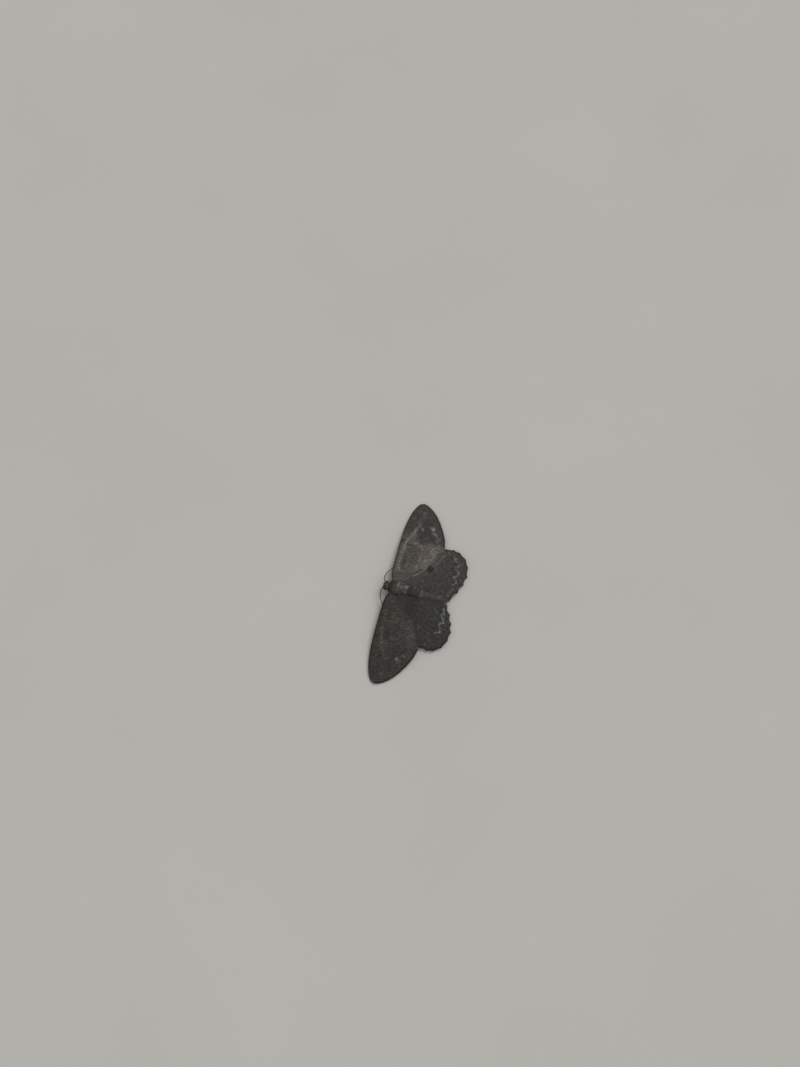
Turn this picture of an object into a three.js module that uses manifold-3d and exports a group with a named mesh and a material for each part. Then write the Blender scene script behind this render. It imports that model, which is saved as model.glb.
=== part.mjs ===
// A geometrid moth at rest, life size: wings spread flat over the ground, feelers swept back under the
// front edges of the forewings, and six legs tucked underneath.
// Millimetres. The head points to -Y, the moth's left side is +X, and Z is up from the surface it rests on.
// The shapes below are laid out from the front of the head, with Y growing towards the tail. The last lines
// move the whole moth so that the origin is the middle of its footprint, on the surface.

import * as THREE from "three";
import { mergeVertices } from "three/addons/utils/BufferGeometryUtils.js";
import Module from "manifold-3d";

const wasm = await Module();
wasm.setup();

// ---------------------------------------------------------------- driving dimensions

const WELD = 1e-4; // vertices closer than this are one
const GAP = 0.05; // room left where one piece meets another
const CUT = 0.06; // width of the cuts at the neck and the waist

const HEAD = { centre: [0, 0.9, 1.8], half: [0.85, 0.84, 0.9] };
const EYE = { radius: 0.49, centre: [0.66, 0.72, 1.84] };
const NECK = { radius: 0.6, from: 1.2, to: 2.1, height: 1.8, cutAt: 1.54 };
const THORAX = { centre: [0, 3.65, 1.98], half: [1.48, 2.3, 1.42], power: 2.3 };
const TEGULA = { centre: [0.98, 3.0, 2.62], half: [0.52, 1.25, 0.5], splay: 12 }; // flap over the wing base
const ABDOMEN = {
  from: 4.7, // inside the thorax
  waist: 5.72,
  tip: 15.2,
  sway: 0.3, // how far the tip lies towards the right side
  halfWidth: 1.16,
  roundness: 0.94, // height over width
  frontHeight: 1.75, // of its axis, at the waist
  tipHeight: 0.98,
  segments: 8,
  bulge: 0.05, // how far each ring stands out
};

// The wings are sheets of one thickness. Their middle surface falls away from the thorax in a curve.
const WING = {
  thickness: 0.5,
  rimHeight: 0.5, // of the middle surface, far from the body
  rootRise: 1.25, // how much higher it is beside the thorax
  fallLength: 5.5,
  rootAt: 1.5, // half the thorax's width
  flatFrom: 5.5, // behind this the rise dies away towards the rear margin
  flatTo: 17.5,
  rearShare: 0.12, // share of the rise left at flatTo
  overlapLift: 0.68, // the forewing lies this far above the hindwing
  liftKeptTo: 11.5, // distance from the midline up to which it does
  liftGoneAt: 18.5,
  tipLift: 0.06,
};

// Outlines of the left wings, from the front of the root round to the back of it: [across, back].
const FOREWING = {
  hinge: [1.2, 2.7],
  rootFront: [1.2, 2.35],
  rootRear: [1.2, 3.9],
  costa: [[2.4, 1.35], [5.4, 1.1], [12.0, 1.07], [16.0, 1.34], [19.2, 2.02], [21.0, 2.9]],
  apex: [21.95, 4.0],
  termen: [[20.85, 6.5], [17.6, 9.35]],
  tornus: [12.4, 11.55],
  dorsum: [[8.9, 10.35], [5.2, 8.1], [2.9, 5.3]],
  scallops: 8,
  scallopDepth: 0.12,
  stepsPerScallop: 3,
  costaSteps: 9,
  dorsumSteps: 7,
  rows: [0, 0.12, 0.28, 0.5, 0.75, 1],
};
const HINDWING = {
  hinge: [1.5, 4.9],
  rootFront: [0.9, 4.3],
  rootRear: [0.9, 5.6],
  costa: [[4.0, 4.75], [7.5, 6.1], [10.3, 8.6]],
  apex: [12.25, 12.0],
  termen: [[12.45, 14.6], [10.6, 17.3], [7.2, 18.3], [3.8, 17.5]],
  tornus: [0.9, 15.9],
  dorsum: [[0.3, 15.1], [0.75, 12.6], [1.1, 9.0]],
  scallops: 8,
  scallopDepth: 0.38,
  stepsPerScallop: 4,
  costaSteps: 5,
  dorsumSteps: 7,
  rows: [0, 0.2, 0.45, 0.72, 1],
};

// How each wing lies: turned forward about its hinge, in degrees, and its reach from the hinge, because the
// left hindwing is drawn in a little under the forewing.
const POSE = {
  forewing_left: { plan: FOREWING, side: 1, forward: 0.8, reach: 1 },
  forewing_right: { plan: FOREWING, side: -1, forward: -0.65, reach: 1 },
  hindwing_left: { plan: HINDWING, side: 1, forward: 0.6, reach: 0.957 },
  hindwing_right: { plan: HINDWING, side: -1, forward: 0, reach: 1 },
};

// Feelers and legs: points along the middle of the left one, and the radius at each point.
const ANTENNA = {
  points: [
    [0.3, 0.74, 2.3], [0.72, 0.3, 2.5], [1.6, -0.02, 2.22], [2.75, 0.12, 1.7],
    [4.0, 0.8, 1.22], [5.9, 1.9, 0.86], [8.0, 2.95, 0.62], [10.1, 3.85, 0.5],
  ],
  radii: [0.27, 0.26, 0.25, 0.25, 0.25, 0.25, 0.25, 0.25],
  steps: 20,
};
const PALP = {
  points: [[0.42, 0.95, 1.0], [0.42, 0.5, 0.86], [0.39, 0.12, 1.0], [0.34, -0.06, 1.3]],
  radii: [0.25, 0.27, 0.26, 0.18],
  steps: 6,
};
const PROBOSCIS = { centre: [0, 0.36, 0.86], radius: 0.34, halfWidth: 0.12 }; // coiled between the palps
const LEGS = {
  foreleg: [[0.5, 2.3, 1.1], [1.1, 2.0, 0.75], [2.5, 1.85, 0.95], [4.0, 2.4, 0.3], [5.9, 3.3, 0.22]],
  midleg: [[0.6, 3.6, 1.1], [1.2, 3.7, 0.7], [3.2, 4.4, 0.72], [5.0, 6.2, 0.3], [6.5, 8.3, 0.22]],
  hindleg: [[0.6, 5.0, 1.1], [1.1, 5.4, 0.7], [2.5, 7.4, 0.72], [3.6, 10.4, 0.3], [4.7, 13.2, 0.22]],
};
const LEG_RADII = [0.42, 0.36, 0.31, 0.26, 0.26];
const LEG_STEPS = 12;
const TUBE_SIDES = 8;

// ---------------------------------------------------------------- solids

// A closed geometry as a solid. Faces that the weld collapses are left out.
function solidOf(geometry) {
  const bare = new THREE.BufferGeometry();
  bare.setAttribute("position", geometry.getAttribute("position"));
  bare.setIndex(geometry.index);
  const merged = mergeVertices(bare, WELD);
  const corners = merged.index.array;
  const kept = [];
  for (let i = 0; i < corners.length; i += 3) {
    const [a, b, c] = corners.slice(i, i + 3);
    if (a !== b && b !== c && c !== a) kept.push(a, b, c);
  }
  return new wasm.Manifold(
    new wasm.Mesh({
      numProp: 3,
      vertProperties: merged.attributes.position.array,
      triVerts: new Uint32Array(kept),
    }),
  );
}

function geometryOf(solid) {
  const mesh = solid.getMesh();
  const geometry = new THREE.BufferGeometry();
  geometry.setAttribute("position", new THREE.BufferAttribute(mesh.vertProperties, 3));
  geometry.setIndex(new THREE.BufferAttribute(mesh.triVerts, 1));
  geometry.computeVertexNormals();
  return geometry;
}

function boxSolid([lowX, lowY, lowZ], [highX, highY, highZ]) {
  const geometry = new THREE.BoxGeometry(highX - lowX, highY - lowY, highZ - lowZ);
  geometry.translate((lowX + highX) / 2, (lowY + highY) / 2, (lowZ + highZ) / 2);
  return solidOf(geometry);
}

// A round body along Y: half-width as a function of t from -1 at the front to 1 at the back.
function spindle(centre, half, power, rings, sides) {
  const profile = [];
  for (let i = 0; i <= rings; i++) {
    const t = -Math.cos((Math.PI * i) / rings);
    const inside = Math.max(0, 1 - Math.abs(t) ** power);
    profile.push(new THREE.Vector2(i === 0 || i === rings ? 0 : inside ** (1 / power), t));
  }
  const geometry = new THREE.LatheGeometry(profile, sides);
  geometry.scale(...half);
  geometry.translate(...centre);
  return geometry;
}

// A tube with rounded ends along a smooth curve, whose radius changes from point to point.
function taperedTube(points, radii, steps, sides, grow = 0) {
  const curve = new THREE.CatmullRomCurve3(points.map((p) => new THREE.Vector3(...p)));
  const frames = curve.computeFrenetFrames(steps, false);
  const positions = [];
  const radiusAt = (t) => {
    const at = curve.getUtoTmapping(t) * (radii.length - 1);
    const i = Math.min(Math.floor(at), radii.length - 2);
    return THREE.MathUtils.lerp(radii[i], radii[i + 1], at - i) + grow;
  };
  const ring = (step, share, along) => {
    const centre = curve.getPointAt(step / steps).addScaledVector(frames.tangents[step], along);
    const radius = radiusAt(step / steps) * share;
    for (let k = 0; k < sides; k++) {
      const angle = (2 * Math.PI * k) / sides;
      const p = centre.clone();
      p.addScaledVector(frames.normals[step], Math.cos(angle) * radius);
      p.addScaledVector(frames.binormals[step], Math.sin(angle) * radius);
      positions.push(p.x, p.y, p.z);
    }
  };
  const capShare = Math.SQRT1_2;
  ring(0, capShare, -radiusAt(0) * capShare);
  for (let i = 0; i <= steps; i++) ring(i, 1, 0);
  ring(steps, capShare, radiusAt(1) * capShare);
  const rings = steps + 3;
  const faces = [];
  for (let i = 0; i < rings - 1; i++) {
    for (let k = 0; k < sides; k++) {
      const a = i * sides + k;
      const b = i * sides + ((k + 1) % sides);
      faces.push(a, b, a + sides, b, b + sides, a + sides);
    }
  }
  for (let k = 1; k < sides - 1; k++) {
    const last = (rings - 1) * sides;
    faces.push(0, k + 1, k, last, last + k, last + k + 1);
  }
  const geometry = new THREE.BufferGeometry();
  geometry.setAttribute("position", new THREE.Float32BufferAttribute(positions, 3));
  geometry.setIndex(faces);
  const solid = solidOf(geometry);
  return solid.volume() < 0 ? solidOf(flipped(geometry)) : solid;
}

function flipped(geometry) {
  const turned = geometry.clone();
  const index = turned.index.array;
  for (let i = 0; i < index.length; i += 3) [index[i], index[i + 1]] = [index[i + 1], index[i]];
  return turned;
}

// A cut can leave crumbs beside the piece that is wanted.
const biggest = (solid) => solid.decompose().sort((a, b) => b.volume() - a.volume())[0];

const mirrorPoint = ([x, y, z], side) => [side * x, y, z];

// ---------------------------------------------------------------- trunk: head, thorax and abdomen

const smooth = (t) => THREE.MathUtils.smoothstep(t, 0, 1);

function headSolid(grow) {
  const half = HEAD.half.map((h) => h + grow);
  return solidOf(spindle(HEAD.centre, half, 2, 8, 14));
}

function neckSolid() {
  const length = NECK.to - NECK.from;
  const geometry = new THREE.CylinderGeometry(NECK.radius, NECK.radius, length, 12);
  geometry.translate(0, (NECK.from + NECK.to) / 2, NECK.height);
  return solidOf(geometry);
}

function tegulaSolid(side, grow) {
  const half = TEGULA.half.map((h) => h + grow);
  const geometry = spindle([0, 0, 0], half, 2, 7, 9);
  geometry.rotateZ(THREE.MathUtils.degToRad(-side * TEGULA.splay));
  geometry.translate(...mirrorPoint(TEGULA.centre, side));
  return solidOf(geometry);
}

function thoraxSolid(grow) {
  const half = THORAX.half.map((h) => h + grow);
  const chest = solidOf(spindle(THORAX.centre, half, THORAX.power, 10, 16));
  return chest.add(tegulaSolid(1, grow)).add(tegulaSolid(-1, grow));
}

// The abdomen tapers to a blunt tip in rings, each a little fuller in its middle, and droops to the rear.
function abdomenSolid(grow) {
  const length = ABDOMEN.tip - ABDOMEN.waist;
  const halfWidthAt = (t) => {
    const taper = 1 - 0.5 * Math.max(0, t) ** 1.7;
    const end = Math.sqrt(Math.max(0, 1 - Math.max(0, (t - 0.86) / 0.14) ** 2));
    const ring = Math.abs(Math.sin(Math.PI * ABDOMEN.segments * t));
    return (ABDOMEN.halfWidth * taper - ABDOMEN.bulge * (1 - ring)) * end + grow;
  };
  const ringsEach = 2;
  const rings = ABDOMEN.segments * ringsEach;
  const profile = [new THREE.Vector2(0, ABDOMEN.from)];
  profile.push(new THREE.Vector2(halfWidthAt(0), ABDOMEN.from));
  for (let i = 0; i < rings; i++) {
    const t = i / rings;
    profile.push(new THREE.Vector2(halfWidthAt(t), ABDOMEN.waist + length * t));
  }
  profile.push(new THREE.Vector2(halfWidthAt(0.97), ABDOMEN.waist + length * 0.97 + grow / 2));
  profile.push(new THREE.Vector2(0, ABDOMEN.tip + grow));
  const geometry = new THREE.LatheGeometry(profile, 14);
  geometry.scale(1, 1, ABDOMEN.roundness);
  const position = geometry.getAttribute("position");
  for (let i = 0; i < position.count; i++) {
    const t = smooth((position.getY(i) - ABDOMEN.waist) / length);
    const height = THREE.MathUtils.lerp(ABDOMEN.frontHeight, ABDOMEN.tipHeight, t);
    position.setX(i, position.getX(i) - ABDOMEN.sway * t);
    position.setZ(i, position.getZ(i) + height);
  }
  return solidOf(geometry);
}

function eyeSolid(side, grow) {
  const geometry = new THREE.SphereGeometry(EYE.radius + grow, 12, 8);
  geometry.translate(...mirrorPoint(EYE.centre, side));
  return solidOf(geometry);
}

// The coiled tongue, as the disc that its turns fill.
function proboscisSolid() {
  const { centre, radius, halfWidth } = PROBOSCIS;
  const face = radius * 0.8;
  const section = [[0, -halfWidth], [face, -halfWidth], [radius, 0], [face, halfWidth], [0, halfWidth]];
  const geometry = new THREE.LatheGeometry(section.map(([r, y]) => new THREE.Vector2(r, y)), 14);
  geometry.rotateZ(Math.PI / 2);
  geometry.translate(...centre);
  return solidOf(geometry);
}

// The trunk is made whole and parted by a thin cut at the neck and another at the waist.
function trunkParts() {
  const sockets = eyeSolid(1, GAP / 2).add(eyeSolid(-1, GAP / 2));
  const whole = headSolid(0).subtract(sockets).add(neckSolid()).add(thoraxSolid(0)).add(abdomenSolid(0));
  const reach = 30;
  const slice = (from, to) => whole.intersect(boxSolid([-reach, from, -reach], [reach, to, reach]));
  return {
    head: slice(-reach, NECK.cutAt - CUT / 2),
    thorax: slice(NECK.cutAt + CUT / 2, ABDOMEN.waist - CUT / 2),
    abdomen: slice(ABDOMEN.waist + CUT / 2, reach),
  };
}

// ---------------------------------------------------------------- wings

// Height of the hindwing's middle surface at a place, and of the forewing's, which lies on it.
function hindwingHeight(x, y) {
  const outward = Math.max(0, Math.abs(x) - WING.rootAt);
  const back = smooth((y - WING.flatFrom) / (WING.flatTo - WING.flatFrom));
  const share = THREE.MathUtils.lerp(1, WING.rearShare, back);
  return WING.rimHeight + WING.rootRise * share * Math.exp(-outward / WING.fallLength);
}

function forewingHeight(x, y) {
  const out = smooth((Math.abs(x) - WING.liftKeptTo) / (WING.liftGoneAt - WING.liftKeptTo));
  return hindwingHeight(x, y) + THREE.MathUtils.lerp(WING.overlapLift, WING.tipLift, out);
}

// The outline's points from the front of the root round the tip to the back of the root. Between the vein
// ends along the outer margin it is scooped inwards.
function wingOutline(plan) {
  const anchors = [
    plan.rootFront, ...plan.costa, plan.apex, ...plan.termen, plan.tornus, ...plan.dorsum, plan.rootRear,
  ];
  const curve = new THREE.CatmullRomCurve3(
    anchors.map(([x, y]) => new THREE.Vector3(x, y, 0)),
    false,
    "centripetal",
  );
  const last = anchors.length - 1;
  const apexAt = (1 + plan.costa.length) / last;
  const tornusAt = (2 + plan.costa.length + plan.termen.length) / last;
  const at = [];
  for (let i = 0; i < plan.costaSteps; i++) at.push([(apexAt * i) / plan.costaSteps, 0]);
  const termenSteps = plan.scallops * plan.stepsPerScallop;
  for (let i = 0; i < termenSteps; i++) {
    const scoop = Math.sin((Math.PI * (i % plan.stepsPerScallop)) / plan.stepsPerScallop);
    at.push([THREE.MathUtils.lerp(apexAt, tornusAt, i / termenSteps), scoop * plan.scallopDepth]);
  }
  for (let i = 0; i <= plan.dorsumSteps; i++) {
    at.push([THREE.MathUtils.lerp(tornusAt, 1, i / plan.dorsumSteps), 0]);
  }
  return at.map(([t, inset]) => {
    const point = curve.getPoint(t);
    const along = curve.getTangent(t);
    return new THREE.Vector2(point.x - along.y * inset, point.y + along.x * inset);
  });
}

// Lays a wing out as a fan from its root to its outline, as its veins run, and gives it its thickness.
function wingSolid({ plan, side, forward, reach }, heightAt) {
  const outline = wingOutline(plan);
  const columns = outline.length;
  const angle = THREE.MathUtils.degToRad(-forward);
  const hinge = new THREE.Vector2(...plan.hinge);
  const place = (p) => {
    const fromHinge = p.clone().sub(hinge).multiplyScalar(reach);
    return fromHinge.rotateAround(new THREE.Vector2(), angle).add(hinge);
  };
  const root = [new THREE.Vector2(...plan.rootFront), new THREE.Vector2(...plan.rootRear)];
  const positions = [];
  for (const lift of [WING.thickness / 2, -WING.thickness / 2]) {
    for (const r of plan.rows) {
      outline.forEach((edge, j) => {
        const inner = root[0].clone().lerp(root[1], j / (columns - 1));
        const p = place(inner.lerp(edge, r));
        positions.push(side * p.x, p.y, heightAt(p.x, p.y) + lift);
      });
    }
  }
  const rows = plan.rows.length;
  const under = rows * columns;
  const faces = [];
  const quad = (a, b, c, d) => faces.push(a, b, c, a, c, d);
  for (let i = 0; i < rows - 1; i++) {
    for (let j = 0; j < columns - 1; j++) {
      const a = i * columns + j;
      quad(a, a + columns, a + columns + 1, a + 1);
      quad(under + a, under + a + 1, under + a + columns + 1, under + a + columns);
    }
  }
  for (let j = 0; j < columns - 1; j++) {
    const edge = (rows - 1) * columns + j;
    quad(edge, under + edge, under + edge + 1, edge + 1);
    quad(j, j + 1, under + j + 1, under + j);
  }
  const geometry = new THREE.BufferGeometry();
  geometry.setAttribute("position", new THREE.Float32BufferAttribute(positions, 3));
  geometry.setIndex(faces);
  const solid = solidOf(geometry);
  return solid.volume() < 0 ? solidOf(flipped(geometry)) : solid;
}

// ---------------------------------------------------------------- the moth

const SCALES = { color: 0x4a4641, roughness: 0.9, metalness: 0 };
const finishes = {
  wing: new THREE.MeshStandardMaterial({ ...SCALES, name: "wing" }),
  body: new THREE.MeshStandardMaterial({ ...SCALES, color: 0x45423f, name: "body" }),
  limb: new THREE.MeshStandardMaterial({ ...SCALES, color: 0x39352f, roughness: 0.7, name: "limb" }),
  eye: new THREE.MeshStandardMaterial({ color: 0x0c0a09, roughness: 0.2, metalness: 0, name: "eye" }),
};

const moth = new THREE.Group();

function addPart(name, solid, material) {
  const mesh = new THREE.Mesh(geometryOf(solid), material);
  mesh.name = name;
  moth.add(mesh);
}

const trunk = trunkParts();
for (const [name, solid] of Object.entries(trunk)) addPart(name, solid, finishes.body);

// What grows from the trunk is cut back to leave a hair's room round it.
const trunkRoom = headSolid(GAP).add(thoraxSolid(GAP)).add(abdomenSolid(GAP));
const aboveGround = boxSolid([-60, -60, 0], [60, 60, 60]);

addPart("proboscis", proboscisSolid().subtract(trunkRoom), finishes.limb);

for (const [name, pose] of Object.entries(POSE)) {
  const heightAt = pose.plan === FOREWING ? forewingHeight : hindwingHeight;
  addPart(name, biggest(wingSolid(pose, heightAt).subtract(trunkRoom)), finishes.wing);
}

for (const [word, side] of [["left", 1], ["right", -1]]) {
  const tube = ({ points, radii, steps }) =>
    taperedTube(points.map((p) => mirrorPoint(p, side)), radii, steps, TUBE_SIDES);
  const eyeRoom = eyeSolid(side, GAP);
  addPart(`eye_${word}`, eyeSolid(side, 0), finishes.eye);
  addPart(`antenna_${word}`, tube(ANTENNA).subtract(trunkRoom).subtract(eyeRoom), finishes.limb);
  addPart(`palp_${word}`, tube(PALP).subtract(trunkRoom).subtract(eyeRoom), finishes.body);
  for (const [leg, points] of Object.entries(LEGS)) {
    const whole = tube({ points, radii: LEG_RADII, steps: LEG_STEPS });
    addPart(`${leg}_${word}`, whole.subtract(trunkRoom).intersect(aboveGround), finishes.limb);
  }
}

// The origin is the middle of the footprint, on the surface the feet stand on.
moth.updateMatrixWorld(true);
const bounds = new THREE.Box3().setFromObject(moth);
const middle = bounds.getCenter(new THREE.Vector3());
moth.position.set(-middle.x, -middle.y, -bounds.min.z);

export default moth;
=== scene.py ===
"""A geometrid moth at rest with its wings spread flat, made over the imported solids.

Shapes are worked out in millimetres in the moth's own frame: x towards its left side, y towards its tail and
z up from the floor, with the origin on the floor under the front of its head. world() turns them to metres.
A wing's plan is drawn for the left side, and side is 1 for a left wing and -1 for a right one.
"""

import math

import bmesh
import bpy
import numpy as np
from mathutils import Matrix, Vector
from mathutils.bvhtree import BVHTree
from mathutils.geometry import delaunay_2d_cdt
from mathutils.kdtree import KDTree

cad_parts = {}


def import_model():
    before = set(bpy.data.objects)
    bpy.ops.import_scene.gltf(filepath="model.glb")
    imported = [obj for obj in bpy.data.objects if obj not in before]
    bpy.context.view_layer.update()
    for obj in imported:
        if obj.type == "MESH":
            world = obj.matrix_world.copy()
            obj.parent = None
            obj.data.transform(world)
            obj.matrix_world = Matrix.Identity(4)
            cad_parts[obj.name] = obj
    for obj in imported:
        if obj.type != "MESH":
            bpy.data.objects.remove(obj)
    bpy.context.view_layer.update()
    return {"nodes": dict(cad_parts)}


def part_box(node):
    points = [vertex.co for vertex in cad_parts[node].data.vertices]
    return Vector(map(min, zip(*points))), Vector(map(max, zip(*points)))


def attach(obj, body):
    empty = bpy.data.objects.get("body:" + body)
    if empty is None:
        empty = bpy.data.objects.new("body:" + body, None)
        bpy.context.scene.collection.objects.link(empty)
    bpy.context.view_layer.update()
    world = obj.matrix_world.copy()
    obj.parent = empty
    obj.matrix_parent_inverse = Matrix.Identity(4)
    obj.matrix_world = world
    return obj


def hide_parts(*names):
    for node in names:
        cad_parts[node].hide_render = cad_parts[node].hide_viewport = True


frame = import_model()

MM = 0.001
SEED = 20
SIDES = {"left": 1, "right": -1}
EYE_BEHIND_FRONT = 0.72  # from the front of the head to the middle of the eyes


def node_box(node):
    """The node's lowest and highest corner in millimetres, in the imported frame."""
    return np.array(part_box(node)) / MM


EYES = (node_box("eye_left").mean(0) + node_box("eye_right").mean(0)) / 2
ORIGIN = np.array([EYES[0], EYES[1] - EYE_BEHIND_FRONT, 0.0])


def world(points):
    return (np.asarray(points) + ORIGIN) * MM


def box(node):
    return node_box(node) - ORIGIN


def dice(number, word=""):
    """Random draws, the same in each run, and different ones for each number and word."""
    return np.random.default_rng(SEED + number + sum(map(ord, word)))


# ------------------------------------------------------------------ small tools


def new_object(name, data):
    made = bpy.data.objects.new(name, data)
    bpy.context.scene.collection.objects.link(made)
    return made


def smoothstep(low, high, value):
    t = np.clip((value - low) / (high - low), 0, 1)
    return t * t * (3 - 2 * t)


def mix(first, second, share):
    share = np.asarray(share)[..., None]
    return first * (1 - share) + np.asarray(second) * share


def unit(vectors):
    return vectors / np.maximum(np.linalg.norm(vectors, axis=-1, keepdims=True), 1e-9)


def spline(points, spacing, closed=False):
    """A Catmull-Rom curve through the points, with samples about that far apart."""
    p = np.asarray(points, float)
    if closed:
        before, after, ahead = np.roll(p, 1, 0), np.roll(p, -1, 0), np.roll(p, -2, 0)
    else:
        p = np.vstack([2 * p[0] - p[1], p, 2 * p[-1] - p[-2]])
        before, after, ahead = p[:-3], p[2:-1], p[3:]
        p = p[1:-2]
    made = []
    for a, b, c, d in zip(before, p, after, ahead):
        steps = max(1, int(round(np.linalg.norm(c - b) / spacing)))
        t = (np.arange(steps) / steps)[:, None]
        bend = (2 * a - 5 * b + 4 * c - d) * t**2 + (3 * b - a - 3 * c + d) * t**3
        made.append(0.5 * (2 * b + (c - a) * t + bend))
    if not closed:
        made.append(np.asarray(points, float)[-1:])
    return np.vstack(made)


def distances(path):
    """How far along a path each of its points lies."""
    return np.concatenate([[0], np.cumsum(np.linalg.norm(np.diff(path, axis=0), axis=1))])


def nearest(points, targets):
    """For each point, the index of the nearest target and how far it is."""
    tree = KDTree(len(targets))
    for i, target in enumerate(targets):
        tree.insert(Vector((*target, 0)[:3]), i)
    tree.balance()
    found = [tree.find(Vector((*point, 0)[:3])) for point in points]
    return np.array([f[1] for f in found]), np.array([f[2] for f in found])


def near(points, path, width):
    """1 on a path through the plan, or at its one place, fading away over the given width."""
    path = np.asarray(path, float)
    reach = np.linalg.norm(points - path[0], axis=1)
    for a, b in zip(path[:-1], path[1:]):
        along = b - a
        t = np.clip((points - a) @ along / (along @ along), 0, 1)
        reach = np.minimum(reach, np.linalg.norm(points - a - t[:, None] * along, axis=1))
    return np.exp(-((reach / width) ** 3))


def blob(points, centre, radii):
    """1 at the centre of an oval spot, fading away past its radii."""
    reach = np.linalg.norm((points - centre) / radii, axis=1)
    return 1 - smoothstep(0.6, 1.3, reach)


def ripple(points, size, seed):
    """Smooth uneven values from about -1 to 1, with waves of about the given size."""
    rng = np.random.default_rng(seed)
    total = np.zeros(len(points))
    for _ in range(6):
        turn = rng.uniform(0, 2 * np.pi)
        wave = rng.uniform(0.7, 1.6) * 2 * np.pi / size
        phase = rng.uniform(0, 2 * np.pi)
        across = points[:, 0] * np.cos(turn) + points[:, 1] * np.sin(turn)
        bent = np.sin(points @ np.array([np.sin(turn), -np.cos(turn)]) * wave * 0.6 + phase)
        total += np.sin(across * wave + phase + bent)
    return total / 3.5


# ------------------------------------------------------------------ materials


def fill(tree, made, values):
    """Sets a node's inputs from (socket, value) pairs. A value may be another node's output, to link."""
    for socket, value in values:
        if isinstance(value, bpy.types.NodeSocket):
            tree.links.new(value, made.inputs[socket])
        else:
            made.inputs[socket].default_value = value
    return made


def node(tree, kind, values=(), **settings):
    made = tree.nodes.new(kind)
    for key, value in settings.items():
        setattr(made, key, value)
    return fill(tree, made, values)


def attribute(tree, name, output="Color"):
    return node(tree, "ShaderNodeAttribute", attribute_name=name).outputs[output]


def in_object(tree):
    return node(tree, "ShaderNodeTexCoord").outputs["Object"]


def noise(tree, scale, detail=3.0):
    """Uneven values in object space. The scale is in waves per metre."""
    pairs = [("Vector", in_object(tree)), ("Scale", scale), ("Detail", detail)]
    return node(tree, "ShaderNodeTexNoise", pairs).outputs["Fac"]


def spread(tree, value, low, high, start=0.3, end=0.7):
    """Moves values of start to end, between which noise mostly lies, to low to high."""
    pairs = [("Value", value), ("From Min", start), ("From Max", end), ("To Min", low), ("To Max", high)]
    return node(tree, "ShaderNodeMapRange", pairs).outputs["Result"]


def maths(tree, operation, *values):
    return node(tree, "ShaderNodeMath", enumerate(values), operation=operation).outputs[0]


def times(tree, colour, factor):
    """A colour made lighter or darker by a number."""
    made = node(tree, "ShaderNodeVectorMath", [(0, colour), ("Scale", factor)], operation="SCALE")
    return made.outputs["Vector"]


def bump(tree, height, distance, strength):
    pairs = [("Height", height), ("Distance", distance), ("Strength", strength)]
    return node(tree, "ShaderNodeBump", pairs).outputs["Normal"]


def ramp(tree, value, dark, light, start=0.0, end=1.0):
    """A colour from dark to light, as the value goes from start to end."""
    made = node(tree, "ShaderNodeValToRGB", [("Fac", value)])
    for element, place, colour in zip(made.color_ramp.elements, (start, end), (dark, light)):
        element.position, element.color = place, (*colour, 1)
    return made.outputs["Color"]


SCALE_RIBS = 9.0  # how often the ribs of a scale wave across it, in radians for half its width
FACETS = 30000.0  # eye facets to a metre


def coat_surface(tree):
    """Scales or hairs: the tint that each one carries, ribbed lengthwise, and paler towards its tip."""
    ribs = maths(tree, "SINE", maths(tree, "MULTIPLY", attribute(tree, "across", "Fac"), SCALE_RIBS))
    paler = spread(tree, attribute(tree, "along", "Fac"), 0.78, 1.12, 0.0, 1.0)
    grain = spread(tree, noise(tree, 9000.0), 0.86, 1.14)
    return {
        "Base Color": times(tree, attribute(tree, "tint"), maths(tree, "MULTIPLY", paler, grain)),
        "Normal": bump(tree, ribs, 0.000004, 0.7),
        "Roughness": 0.64, "Specular IOR Level": 0.25, "Sheen Weight": 0.1, "Sheen Roughness": 0.45,
    }


def skin_surface(tree, roughness):
    """Bare cuticle or membrane under the coat, finely pitted."""
    return {
        "Base Color": times(tree, attribute(tree, "tint"), spread(tree, noise(tree, 5000.0), 0.75, 1.1)),
        "Normal": bump(tree, noise(tree, 16000.0), 0.00001, 0.6),
        "Roughness": spread(tree, noise(tree, 3000.0), roughness - 0.08, roughness + 0.08),
        "Specular IOR Level": 0.35,
    }


def eye_surface(tree):
    """Dark compound eyes with a soft mottle under a clear gloss."""
    pairs = [("Vector", in_object(tree)), ("Scale", FACETS), ("Randomness", 0.35)]
    facets = node(tree, "ShaderNodeTexVoronoi", pairs).outputs["Distance"]
    mottle = noise(tree, 2600.0, 2.0)
    return {
        "Base Color": ramp(tree, mottle, (0.006, 0.005, 0.0045), (0.03, 0.022, 0.016), 0.35, 0.7),
        "Normal": bump(tree, maths(tree, "SUBTRACT", 1.0, facets), 0.00001, 0.5),
        "Roughness": 0.36, "Specular IOR Level": 0.5, "Coat Weight": 0.12, "Coat Roughness": 0.2,
    }


def horn_surface(tree):
    """Claws, spurs and tongue: dark amber horn."""
    return {
        "Base Color": ramp(tree, noise(tree, 4000.0), (0.03, 0.018, 0.01), (0.09, 0.055, 0.03)),
        "Normal": bump(tree, noise(tree, 20000.0), 0.000004, 0.5),
        "Roughness": 0.38,
    }


def floor_surface(tree):
    return {
        "Base Color": ramp(tree, noise(tree, 18.0, 4.0), (0.55, 0.545, 0.52), (0.6, 0.597, 0.575)),
        "Normal": bump(tree, noise(tree, 900.0, 5.0), 0.00006, 0.4),
        "Roughness": 0.9, "Specular IOR Level": 0.15,
    }


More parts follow.
